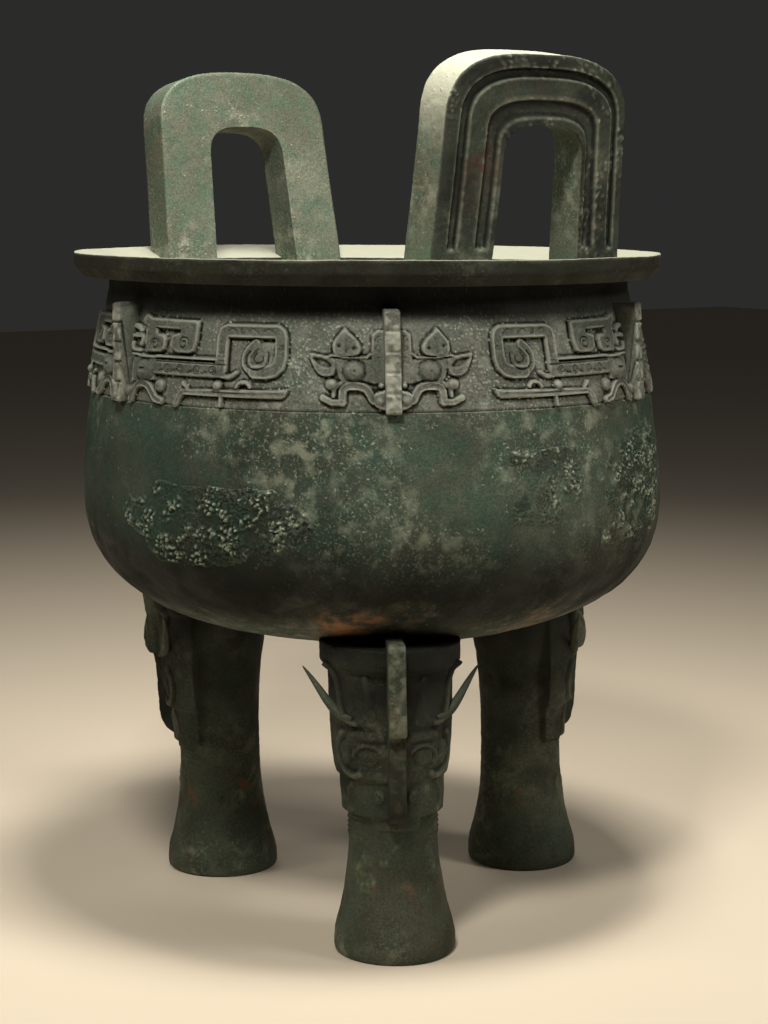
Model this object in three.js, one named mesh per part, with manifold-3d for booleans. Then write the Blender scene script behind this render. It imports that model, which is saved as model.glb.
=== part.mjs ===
// Ding: a three-legged cast bronze cauldron with two upright handles.
//
// Millimetres, +Z up. The origin is on the ground under the middle of the vessel.
// The handles stand on +X and -X. One leg is on +Y, the others 120 degrees to each side of it.
// The whole casting leans a little, as it came out of its mould.

import * as THREE from 'three';
import { mergeVertices } from 'three/addons/utils/BufferGeometryUtils.js';
import Module from 'manifold-3d';

const wasm = await Module();
wasm.setup();

// Driving sizes: bowl and rim
const RIM_RADIUS = 306.5;
const RIM_TOP = 692;
const RIM_EDGE_HEIGHT = 14;
const RIM_CHAMFER = 11;
const RIM_CHAMFER_INSET = 10;
const RIM_FALL = 14;
const MOUTH_RADIUS = 262;
const NECK_RADIUS = 271.5;
const NECK_HEIGHT = 655;
const NECK_POWER = 1.6;
const BELLY_RADIUS = 305.3;
const BELLY_HEIGHT = 445;
const BOWL_BOTTOM = 291.5;
const BOWL_POWER = 2.54;
const WALL = 9;
const FLOOR_WALL = 11;

// Driving sizes: handles
const HANDLE_FACE = 270;
const HANDLE_THICKNESS = 44;
const HANDLE_HEIGHT = 191;
const HANDLE_HALF_BASE = 114;
const HANDLE_HALF_SPRING = 107;
const HANDLE_SPRING = 121;
const HANDLE_POWER = 2.9;
const HANDLE_TILT = 8.06;
const HOLE_HALF_BASE = 53;
const HOLE_HALF_SPRING = 48;
const HOLE_SPRING = 88;
const HOLE_POWER = 3;
const HANDLES = [
  { angle: 0, holeHeight: 125, drift: 11 },
  { angle: 180, holeHeight: 129, drift: 0 },
];
const DRIFT_POWER = 0.6;
const HANDLE_FOOT = 24;
const HANDLE_ROOT_DROP = 34;
const SILL_FALL = 18;
const GROOVE_WIDTH = 9;
const GROOVE_DEPTH = 3.5;
const GROOVE_INSETS = [13, 38];
const GROOVE_FOOT = 7;

// Driving sizes: legs
const LEG_CIRCLE = 197;
const LEG_ANGLES = [90, 210, 330];
const LEG_TOP = 318;
const SHANK_RADIUS = 44.5;
const SHANK_PROFILE = [
  [58, 0], [61, 5], [60, 22], [54, 45], [47.5, 80], [SHANK_RADIUS, 118],
  [45, 184], [48, 228], [56, 280], [58, LEG_TOP],
];
const COLLAR_RADIUS = 70;
const COLLAR_HEIGHT = 298;
const COLLAR_BEVEL = 8;
const MASK_STEPS = [
  { bottom: 146, low: 50, high: 52.5 },
  { bottom: 184, low: 56, high: 60.5 },
  { bottom: 228, low: 61.5, high: 62 },
];
const MASK_BACK = -4;
const NOSE = {
  width: 20,
  outline: [[0, 140], [47.5, 140], [70, 152], [76, 162], [77, 194], [82, 240], [0, 240]],
};
const LEG_FLANGE = { width: 18, outline: [[0, 236], [86, 236], [90, 250], [90, 328], [0, 328]] };
const RINGS = { heights: [126, 137], reach: 1.6, halfHeight: 3, halfFlat: 1.5 };
const HORN = {
  bottom: 240, thickness: 14, bend: 78, offset: 48, reach: 70, lift: 18, curveSteps: 3,
  start: [-34, 33],
  curves: [
    [-36, 4, -10, -2, 3.4, 0],
    [25.5, 2, 37.4, 26.4, 52.7, 49.3],
    [34, 41.8, 20.4, 18.5, 0, 17.6],
    [-11.9, 18.5, -18.7, 26.4, -34, 33],
  ],
};
const LEG_EYE = { across: 11, up: 8, proud: 8, out: 60, turn: 38, height: 212 };

// Driving sizes: the carved band below the rim
const FLANGE_COUNT = 6;
const FLANGE_WIDTH = 15;
const FLANGE_TOP = 646;
const FLANGE_BOTTOM = 549;
const FLANGE_REACH = 300;
const FLANGE_FLARE = 4;
const FLANGE_NOTCHES = 4;
const NOTCH_DEPTH = 3;
const NOTCH_HEIGHT = 3;
const MASK_EYE = { across: 10, up: 10, proud: 7, turn: 8, height: 592 };
const DRAGON_EYE = { across: 9, up: 11, proud: 7, turn: 10, height: 590 };

// The lean of the casting: level sections shifted sideways, none at LEAN_LEVEL
const LEAN_SLOPE = 0.0217;
const LEAN_LEVEL = 595;
const LEAN_DIRECTION = 56;

// Fineness, and the overlap that joins two solids or carries a cutter past a face
const BOWL_SIDES = 44;
const BOTTOM_STEPS = 8;
const OUTER_WALL_STEPS = 4;
const INNER_WALL_STEPS = 3;
const LEG_SIDES = 18;
const DOME_SIDES = 7;
const DOME_RINGS = 4;
const OUTLINE_STEPS = 7;
const MERGE_DISTANCE = 1e-3;
const SINK = 6;

const rad = THREE.MathUtils.degToRad;

// ---- geometry to solid and back ----

function signedVolume(position, index) {
  const [a, b, c] = [new THREE.Vector3(), new THREE.Vector3(), new THREE.Vector3()];
  let six = 0;
  for (let i = 0; i < index.length; i += 3) {
    a.fromBufferAttribute(position, index[i]);
    b.fromBufferAttribute(position, index[i + 1]);
    c.fromBufferAttribute(position, index[i + 2]);
    six += a.dot(b.cross(c));
  }
  return six;
}

function toSolid(geometry) {
  const bare = new THREE.BufferGeometry();
  bare.setAttribute('position', geometry.getAttribute('position').clone());
  if (geometry.index) bare.setIndex(geometry.index.clone());
  const merged = mergeVertices(bare, MERGE_DISTANCE);
  const source = merged.index.array;
  const kept = [];
  for (let i = 0; i < source.length; i += 3) {
    const [a, b, c] = [source[i], source[i + 1], source[i + 2]];
    if (a !== b && b !== c && c !== a) kept.push(a, b, c);
  }
  if (signedVolume(merged.getAttribute('position'), kept) < 0) {
    for (let i = 0; i < kept.length; i += 3) {
      [kept[i], kept[i + 1]] = [kept[i + 1], kept[i]];
    }
  }
  const vertProperties = new Float32Array(merged.getAttribute('position').array);
  const triVerts = new Uint32Array(kept);
  return new wasm.Manifold(new wasm.Mesh({ numProp: 3, vertProperties, triVerts }));
}

function toGeometry(solid) {
  const mesh = solid.getMesh();
  const geometry = new THREE.BufferGeometry();
  geometry.setAttribute('position', new THREE.BufferAttribute(mesh.vertProperties.slice(), 3));
  geometry.setIndex(Array.from(mesh.triVerts));
  geometry.computeVertexNormals();
  return geometry;
}

function joined(solids) {
  return solids.reduce((whole, next) => whole.add(next));
}

// A closed profile of [radius, height] pairs turned about the upright axis.
function turned(pairs, sides) {
  const points = pairs.map(([radius, height]) => new THREE.Vector2(radius, height));
  return new THREE.LatheGeometry(points, sides).rotateX(Math.PI / 2);
}

// An outline in a plane that holds the axis: x is the distance out, y the height. Its middle lies on +X.
function slab(pairs, width) {
  const shape = new THREE.Shape(pairs.map(([x, y]) => new THREE.Vector2(x, y)));
  const geometry = new THREE.ExtrudeGeometry(shape, { depth: width, bevelEnabled: false });
  return geometry.translate(0, 0, -width / 2).rotateX(Math.PI / 2);
}

// ---- bowl and rim ----

function upperRadius(height) {
  const rise = (height - BELLY_HEIGHT) / (NECK_HEIGHT - BELLY_HEIGHT);
  return BELLY_RADIUS - (BELLY_RADIUS - NECK_RADIUS) * Math.pow(Math.max(rise, 0), NECK_POWER);
}

// Half of a rounded outline below the belly, from the axis at the bottom up to the belly.
function roundBottom(radius, bottom) {
  const pairs = [];
  for (let i = 0; i <= BOTTOM_STEPS; i += 1) {
    const turn = (Math.PI / 2) * (i / BOTTOM_STEPS);
    const out = radius * Math.pow(Math.sin(turn), 2 / BOWL_POWER);
    const down = (BELLY_HEIGHT - bottom) * Math.pow(Math.cos(turn), 2 / BOWL_POWER);
    pairs.push([i === 0 ? 0 : out, BELLY_HEIGHT - (i === BOTTOM_STEPS ? 0 : down)]);
  }
  return pairs;
}

function upperWall(inset, steps) {
  const pairs = [];
  for (let i = 1; i <= steps; i += 1) {
    const height = BELLY_HEIGHT + ((NECK_HEIGHT - BELLY_HEIGHT) * i) / steps;
    pairs.push([upperRadius(height) - inset, height]);
  }
  return pairs;
}

function outerSolid() {
  const edgeBottom = RIM_TOP - RIM_EDGE_HEIGHT;
  const underside = edgeBottom - RIM_CHAMFER;
  return toSolid(turned([
    ...roundBottom(BELLY_RADIUS, BOWL_BOTTOM),
    ...upperWall(0, OUTER_WALL_STEPS),
    [NECK_RADIUS, underside],
    [RIM_RADIUS - RIM_CHAMFER_INSET, underside],
    [RIM_RADIUS, edgeBottom],
    [RIM_RADIUS, RIM_TOP],
    [MOUTH_RADIUS, RIM_TOP - RIM_FALL],
    [0, RIM_TOP - RIM_FALL],
  ], BOWL_SIDES));
}

function cavitySolid() {
  const above = RIM_TOP + SINK;
  return toSolid(turned([
    ...roundBottom(BELLY_RADIUS - WALL, BOWL_BOTTOM + FLOOR_WALL),
    ...upperWall(WALL, INNER_WALL_STEPS),
    [MOUTH_RADIUS, RIM_TOP - 2 * RIM_FALL],
    [MOUTH_RADIUS, above],
    [0, above],
  ], BOWL_SIDES));
}

// ---- handles ----

// Arched outline: straight sides that draw in to the springing, then a rounded top.
function archPoints(halfBase, halfSpring, spring, height, power, foot) {
  const points = [new THREE.Vector2(halfBase, foot)];
  for (let i = 0; i <= 2 * OUTLINE_STEPS; i += 1) {
    const turn = Math.PI * (i / (2 * OUTLINE_STEPS));
    const across = Math.sign(Math.cos(turn)) * Math.pow(Math.abs(Math.cos(turn)), 2 / power);
    const up = Math.pow(Math.abs(Math.sin(turn)), 2 / power);
    points.push(new THREE.Vector2(halfSpring * across, spring + (height - spring) * up));
  }
  points.push(new THREE.Vector2(-halfBase, foot));
  return points;
}

function handleArch(inset, foot) {
  return archPoints(
    HANDLE_HALF_BASE - inset,
    HANDLE_HALF_SPRING - inset,
    HANDLE_SPRING,
    HANDLE_HEIGHT - inset,
    HANDLE_POWER,
    foot,
  );
}

// Outline across the handle, extruded through its thickness, before it is stood up.
function plate(points, from, depth) {
  const settings = { depth, bevelEnabled: false };
  return new THREE.ExtrudeGeometry(new THREE.Shape(points), settings).translate(0, 0, from);
}

// From flat to upright: x of the outline runs along -Y, its height leans out by HANDLE_TILT.
function stoodUp(geometry) {
  const face = new THREE.Matrix4().makeBasis(
    new THREE.Vector3(0, 1, 0),
    new THREE.Vector3(Math.sin(rad(HANDLE_TILT)), 0, Math.cos(rad(HANDLE_TILT))),
    new THREE.Vector3(Math.cos(rad(HANDLE_TILT)), 0, -Math.sin(rad(HANDLE_TILT))),
  );
  return geometry.applyMatrix4(face).translate(HANDLE_FACE, 0, RIM_TOP);
}

// A handle's channels and hole sit off centre, and more so further in from its outline.
function drifted(points, inset, drift) {
  const part = Math.pow(inset / (HANDLE_HALF_BASE - HOLE_HALF_BASE), DRIFT_POWER);
  return points.map((point) => new THREE.Vector2(point.x + drift * part, point.y));
}

function handleSolid({ holeHeight, drift }) {
  const outline = handleArch(0, -HANDLE_FOOT);
  const body = toSolid(stoodUp(plate(outline, -HANDLE_THICKNESS, HANDLE_THICKNESS)));
  const holeOutline = drifted(
    archPoints(HOLE_HALF_BASE, HOLE_HALF_SPRING, HOLE_SPRING, holeHeight, HOLE_POWER, 0),
    HANDLE_HALF_BASE - HOLE_HALF_BASE,
    drift,
  );
  const through = HANDLE_THICKNESS + 2 * SINK;
  const hole = toSolid(stoodUp(plate(holeOutline, SINK - through, through)));
  const inner = HANDLE_FACE - HANDLE_THICKNESS - SINK;
  const sill = slab([
    [inner, RIM_TOP + 2 * SINK],
    [inner, RIM_TOP - SILL_FALL],
    [MOUTH_RADIUS, RIM_TOP - RIM_FALL],
    [RIM_RADIUS, RIM_TOP],
    [RIM_RADIUS, RIM_TOP + 2 * SINK],
  ], 2 * HOLE_HALF_BASE).translate(0, drift, 0);
  const grooves = GROOVE_INSETS.map((inset) => grooveSolid(inset, drift));
  return body.subtract(joined([hole, toSolid(sill), ...grooves]));
}

// A round-topped channel that follows the handle's outline at a given inset.
function grooveSolid(inset, drift) {
  const outside = drifted(handleArch(inset, GROOVE_FOOT), inset, drift);
  const inside = drifted(handleArch(inset + GROOVE_WIDTH, GROOVE_FOOT - SINK), inset, drift);
  const channel = toSolid(stoodUp(plate(outside, -GROOVE_DEPTH, 2 * GROOVE_DEPTH)));
  return channel.subtract(toSolid(stoodUp(plate(inside, -2 * GROOVE_DEPTH, 4 * GROOVE_DEPTH))));
}

// The bracket under a handle, inside the mouth, where the flat handle overhangs the round wall.
function handleRoot() {
  const inner = HANDLE_FACE - HANDLE_THICKNESS;
  const buried = MOUTH_RADIUS + WALL / 2;
  const top = RIM_TOP - RIM_FALL - SINK;
  const bracket = toSolid(slab([
    [inner, top],
    [inner, top - 2 * SINK],
    [buried, top - HANDLE_ROOT_DROP],
    [buried, top],
  ], 2 * HOLE_HALF_BASE + HANDLE_THICKNESS));
  return bracket.intersect(outerSolid());
}

// ---- legs ----

function shank() {
  return toSolid(turned([[0, 0], ...SHANK_PROFILE, [0, LEG_TOP]], LEG_SIDES));
}

function ring(height) {
  const inner = SHANK_RADIUS - RINGS.reach;
  const outer = SHANK_RADIUS + RINGS.reach;
  return toSolid(turned([
    [0, height - RINGS.halfHeight],
    [inner, height - RINGS.halfHeight],
    [outer, height - RINGS.halfFlat],
    [outer, height + RINGS.halfFlat],
    [inner, height + RINGS.halfHeight],
    [0, height + RINGS.halfHeight],
  ], LEG_SIDES));
}

// The beast mask's stepped mass, which wraps the outer half of the leg's head under a flat collar.
function maskMass() {
  const [chin, cheek, brow] = MASK_STEPS;
  const mass = toSolid(turned([
    [0, chin.bottom],
    [chin.low, chin.bottom],
    [chin.high, cheek.bottom],
    [cheek.low, cheek.bottom],
    [cheek.high, brow.bottom - COLLAR_BEVEL],
    [brow.low, brow.bottom],
    [brow.high, COLLAR_HEIGHT - COLLAR_BEVEL],
    [COLLAR_RADIUS, COLLAR_HEIGHT],
    [COLLAR_RADIUS, LEG_TOP],
    [0, LEG_TOP],
  ], LEG_SIDES));
  const reach = 2 * COLLAR_RADIUS;
  const outerHalf = new THREE.BoxGeometry(reach, 2 * reach, 2 * LEG_TOP);
  return mass.intersect(toSolid(outerHalf.translate(reach / 2 + MASK_BACK, 0, 0)));
}

// A horn is a crescent plate, wrapped on a drum wider than the leg so that its tip stands free.
function horn(side) {
  const shape = new THREE.Shape();
  shape.moveTo(...HORN.start);
  HORN.curves.forEach((curve) => shape.bezierCurveTo(...curve));
  const settings = { depth: HORN.thickness, bevelEnabled: false, curveSegments: HORN.curveSteps };
  const geometry = new THREE.ExtrudeGeometry(shape, settings);
  const position = geometry.getAttribute('position');
  const drumCentre = HORN.reach - HORN.bend;
  const tip = HORN.curves[1][4];
  for (let i = 0; i < position.count; i += 1) {
    const turn = (position.getX(i) + HORN.offset) / HORN.bend;
    const lift = HORN.lift * Math.pow(Math.max(position.getX(i), 0) / tip, 2);
    const out = HORN.bend - HORN.thickness + position.getZ(i) + lift;
    position.setXYZ(
      i,
      drumCentre + out * Math.cos(turn),
      side * out * Math.sin(turn),
      HORN.bottom + position.getY(i),
    );
  }
  return toSolid(geometry);
}

function noseAndFlange() {
  return toSolid(slab(NOSE.outline, NOSE.width)).add(toSolid(slab(LEG_FLANGE.outline, LEG_FLANGE.width)));
}

function dome(size, out, turn, height) {
  const ball = new THREE.SphereGeometry(1, DOME_SIDES, DOME_RINGS).rotateX(Math.PI / 2);
  return toSolid(ball.scale(size.proud, size.across, size.up).translate(out, 0, 0).rotateZ(turn)
    .translate(0, 0, height));
}

function legSolid(angle) {
  const eyes = [-1, 1].map((side) => dome(LEG_EYE, LEG_EYE.out, side * rad(LEG_EYE.turn), LEG_EYE.height));
  const leg = joined([shank(), maskMass(), noseAndFlange(), horn(1), horn(-1), ...eyes, ...RINGS.heights.map(ring)]);
  return placed(leg, LEG_CIRCLE, angle);
}

// ---- the carved band ----

function neckFlange(angle) {
  const outline = [[NECK_RADIUS - SINK, FLANGE_TOP], [FLANGE_REACH, FLANGE_TOP]];
  const tooth = (FLANGE_TOP - FLANGE_BOTTOM) / (FLANGE_NOTCHES + 1);
  for (let i = 1; i <= FLANGE_NOTCHES; i += 1) {
    const reach = FLANGE_REACH + (FLANGE_FLARE * i) / (FLANGE_NOTCHES + 1);
    const middle = FLANGE_TOP - tooth * i;
    outline.push([reach, middle + NOTCH_HEIGHT]);
    outline.push([reach - NOTCH_DEPTH, middle]);
    outline.push([reach, middle - NOTCH_HEIGHT / 2]);
  }
  outline.push([FLANGE_REACH + FLANGE_FLARE, FLANGE_BOTTOM]);
  outline.push([upperRadius(FLANGE_BOTTOM) - SINK, FLANGE_BOTTOM]);
  return placed(toSolid(slab(outline, FLANGE_WIDTH)), 0, angle);
}

function bandSolids() {
  const solids = [];
  for (let i = 0; i < FLANGE_COUNT; i += 1) {
    const angle = LEG_ANGLES[0] + (360 / FLANGE_COUNT) * i;
    const size = i % 2 === 0 ? MASK_EYE : DRAGON_EYE;
    solids.push(neckFlange(angle));
    [-1, 1].forEach((side) => {
      solids.push(dome(size, upperRadius(size.height), rad(angle + side * size.turn), size.height));
    });
  }
  return solids;
}

// ---- assembly ----

function placed(solid, out, angle) {
  const geometry = toGeometry(solid).translate(out, 0, 0).rotateZ(rad(angle));
  return toSolid(geometry);
}

function leaned(geometry) {
  const position = geometry.getAttribute('position');
  for (let i = 0; i < position.count; i += 1) {
    const shift = LEAN_SLOPE * (LEAN_LEVEL - position.getZ(i));
    position.setX(i, position.getX(i) + shift * Math.cos(rad(LEAN_DIRECTION)));
    position.setY(i, position.getY(i) + shift * Math.sin(rad(LEAN_DIRECTION)));
  }
  geometry.computeVertexNormals();
  return geometry;
}

function vesselGeometry() {
  const outside = joined([outerSolid(), ...LEG_ANGLES.map(legSolid), ...bandSolids()]);
  const hollow = outside.subtract(cavitySolid());
  const handles = HANDLES.map((handle) => placed(handleSolid(handle).add(handleRoot()), 0, handle.angle));
  return leaned(toGeometry(joined([hollow, ...handles])));
}

const bronze = new THREE.MeshStandardMaterial({ color: 0x47503f, roughness: 0.72, metalness: 0.35 });
const vessel = new THREE.Mesh(vesselGeometry(), bronze);
vessel.name = 'ding_vessel';

const ding = new THREE.Group();
ding.add(vessel);

export default ding;
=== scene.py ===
"""The finished surfaces of a three-legged cast bronze ding, built around its packed casting.

Lengths inside the classes are millimetres; meshes are written in metres. +Z is up, the handles
stand on +X and -X, and one leg is on +Y. Every piece is a closed surface worked out on a grid.
"""

from __future__ import annotations

import logging
from dataclasses import dataclass, field
from enum import Enum, IntEnum
from typing import Callable, Sequence

import bpy
import numpy as np
from mathutils import Matrix, Vector


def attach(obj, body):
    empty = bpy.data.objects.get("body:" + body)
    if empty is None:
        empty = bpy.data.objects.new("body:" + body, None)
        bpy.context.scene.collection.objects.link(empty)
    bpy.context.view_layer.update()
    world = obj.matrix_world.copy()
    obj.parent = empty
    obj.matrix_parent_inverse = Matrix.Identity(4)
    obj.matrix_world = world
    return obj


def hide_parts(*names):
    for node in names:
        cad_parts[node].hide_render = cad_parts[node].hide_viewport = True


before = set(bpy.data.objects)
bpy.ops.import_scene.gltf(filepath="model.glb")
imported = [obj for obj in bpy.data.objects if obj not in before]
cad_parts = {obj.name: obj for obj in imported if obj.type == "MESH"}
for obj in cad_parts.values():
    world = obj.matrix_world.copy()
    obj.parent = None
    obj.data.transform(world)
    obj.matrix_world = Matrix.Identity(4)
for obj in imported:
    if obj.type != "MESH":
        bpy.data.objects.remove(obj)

logging.basicConfig(level=logging.INFO, format="%(message)s")
LOG = logging.getLogger("ding")

MM = 0.001
NODE = "ding_vessel"
BODY = "root"
# Marks that the finishes read. The sunk-place mark is painted shade, the dark mark is mostly painted shade
# and painted shadow, and the crust mark also paints highlight on the rim and handle tops.
MARKS = ("worn", "hollow", "crust_and_highlight", "dark_tone_and_shade", "rust")

Array = np.ndarray
Point = tuple[float, float]


class Pattern(IntEnum):
    """The random pattern that each roughness draws on; a patch or a leg adds its own seed."""

    RIM_NICKS = 11
    RIM_EDGE = 12
    RIM_WAVE = 13
    RIM_LIFT = 14
    RIM_GRIT = 15
    RIM_WEAR = 16
    BAND_GRIT = 21
    BAND_LUMPS = 22
    BAND_CRUMBS = 23
    BAND_CLUSTERS = 24
    BAND_SWELL = 25
    BELLY_DENTS = 31
    BELLY_LUMPS = 32
    BELLY_RUST = 33
    BELLY_TINT = 34
    BELLY_RUST_EDGE = 35
    HANDLE_ROUGH = 51
    HANDLE_SWELL = 52
    HANDLE_SCAB = 53
    HANDLE_CLUSTERS = 54
    HANDLE_FOOT = 55
    HANDLE_RUST = 56
    # Varies the painted shade on the handles' outer faces.
    HANDLE_SHADE = 57
    PLATE_ROUGH = 61
    PLATE_PITS = 62
    PLATE_CORNERS = 63
    PLATE_WEAR = 64
    LEG_ROUGH = 71
    LEG_SWELL = 72
    LEG_PITS = 73
    LEG_CLUSTERS = 74
    LEG_SCAB = 75
    LEG_STAINS = 76
    NOSE_ROUGH = 77
    NOSE_SWELL = 78
    NOSE_PITS = 79
    NOSE_WEAR = 80
    NOSE_RUST = 81
    # Varies the painted shade on the legs.
    LEG_SHADE = 82
    LEG_STAIN_EDGE = 83


# ---------------------------------------------------------------- number helpers


def smooth(value: Array) -> Array:
    """Ease from 0 to 1 with level ends, for values clipped to that range."""
    t = np.clip(value, 0.0, 1.0)
    return t * t * (3.0 - 2.0 * t)


def bump_at(value: Array, middle: float, reach: float) -> Array:
    """A rounded bump, 1 at the middle and 0 from reach away."""
    return smooth(1.0 - np.abs(value - middle) / reach)


def through(knots: Sequence[Point], at: Array) -> Array:
    """Read a smooth curve through a few knots.

    Each stretch is a cubic whose end slopes are the mean of the neighbouring chords,
    and level where the chords change sign, so the curve never overshoots a knot.

    Args:
        knots: (position, value) pairs in rising order of position.
        at: positions to read, clipped to the first and last knot.

    Returns:
        The curve's value at each position.
    """
    x, y = np.array(knots, float).T
    chord = np.diff(y) / np.diff(x)
    before, after = np.r_[chord[0], chord], np.r_[chord, chord[-1]]
    turning = before * after <= 0
    slope = np.where(turning, 0.0, 2 * before * after / np.where(turning, 1.0, before + after))
    where = np.clip(at, x[0], x[-1])
    i = np.clip(np.searchsorted(x, where) - 1, 0, len(x) - 2)
    span = x[i + 1] - x[i]
    t = (where - x[i]) / span
    start = (1 + 2 * t) * (1 - t) ** 2 * y[i] + t * (1 - t) ** 2 * span * slope[i]
    return start + t * t * (3 - 2 * t) * y[i + 1] + t * t * (t - 1) * span * slope[i + 1]


def hashed(cell: Array, seed: int) -> Array:
    """A fixed number from 0 to 1 for each whole-number cell, mixed from its three indices."""
    mix = cell[..., 0] * 374761393 + cell[..., 1] * 668265263 + cell[..., 2] * 1274126177
    mix = (mix + seed * 974634777) & 0xFFFFFFFF
    mix = ((mix ^ (mix >> 13)) * 1274126177) & 0xFFFFFFFF
    return ((mix ^ (mix >> 16)) & 0xFFFFFF) / 0xFFFFFF


def noise(points: Array, cell: float, seed: int, octaves: int = 1) -> Array:
    """Smooth lumps from -1 to 1: values on a lattice, blended by the smoothed fraction on each axis.

    Args:
        points: places in millimetres, last axis of three.
        cell: size of the largest lumps.
        seed: which pattern.
        octaves: layers, each with lumps half as large and half as high.

    Returns:
        One value for each place.
    """
    total = np.zeros(points.shape[:-1])
    for layer in range(octaves):
        scaled = points * (2**layer / cell)
        base = np.floor(scaled).astype(np.int64)
        part = smooth(scaled - base)
        value = np.zeros(points.shape[:-1])
        for corner in range(8):
            step = np.array([corner & 1, corner >> 1 & 1, corner >> 2 & 1])
            weight = np.prod(np.where(step == 1, part, 1.0 - part), axis=-1)
            value += weight * hashed(base + step, seed + 31 * layer)
        total += (2.0 * value - 1.0) / 2**layer
    return total


def grains(points: Array, cell: float, seed: int) -> Array:
    """Round grains, 1 at a grain's middle and 0 between grains.

    The value falls with the distance to the nearest point of a lattice whose points are
    each moved at random inside their cell.

    Args:
        points: places in millimetres, last axis of three.
        cell: mean distance between grains.
        seed: which pattern.

    Returns:
        One value from 0 to 1 for each place.
    """
    scaled = points / cell
    base = np.floor(scaled).astype(np.int64)
    nearest = np.full(points.shape[:-1], 9.0)
    for index in range(27):
        step = np.array([index % 3 - 1, index // 3 % 3 - 1, index // 9 - 1])
        lattice = base + step
        jitter = np.stack([hashed(lattice, seed + axis) for axis in range(3)], axis=-1)
        nearest = np.minimum(nearest, np.sum((lattice + jitter - scaled) ** 2, axis=-1))
    return np.clip(1.0 - np.sqrt(nearest), 0.0, 1.0)


def curve_path(points: Sequence[Point], closed: bool = False, steps: int = 6) -> Array:
    """A smooth line through the points: each stretch is the cubic set by its four nearest points.

    Args:
        points: places the line passes through.
        closed: whether the line returns to its start.
        steps: samples for each stretch.

    Returns:
        The line's samples, one row each.
    """
    p = np.array(points, float)
    p = np.vstack([p[-1], p, p[:2]]) if closed else np.vstack([p[0], p, p[-1]])
    t = (np.arange(steps) / steps)[:, None]
    out = []
    for a, b, c, d in zip(p[:-3], p[1:-2], p[2:-1], p[3:]):
        bend = 2 * a - 5 * b + 4 * c - d
        twist = 3 * b - a - 3 * c + d
        out.append(0.5 * (2 * b + (c - a) * t + bend * t**2 + twist * t**3))
    line = np.vstack(out)
    return line if closed else np.vstack([line, p[-1]])


def spiral(middle: Point, radius: float, turns: float, start: float, hand: int = 1) -> Array:
    """A flat spiral whose radius grows evenly with its angle, from a quarter of radius to radius.

    Args:
        middle: its centre.
        radius: distance of its outer end.
        turns: how many times it goes round.
        start: direction of its inner end, in turns.
        hand: 1 anticlockwise outwards, -1 clockwise.

    Returns:
        Its samples, one row each.
    """
    t = np.linspace(0.0, 1.0, int(12 * turns) + 2)
    angle = 2 * np.pi * (start + hand * turns * t)
    out = radius * (0.25 + 0.75 * t)
    return np.c_[middle[0] + out * np.cos(angle), middle[1] + out * np.sin(angle)]


# ---------------------------------------------------------------- relief drawn on a flat sheet


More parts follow.
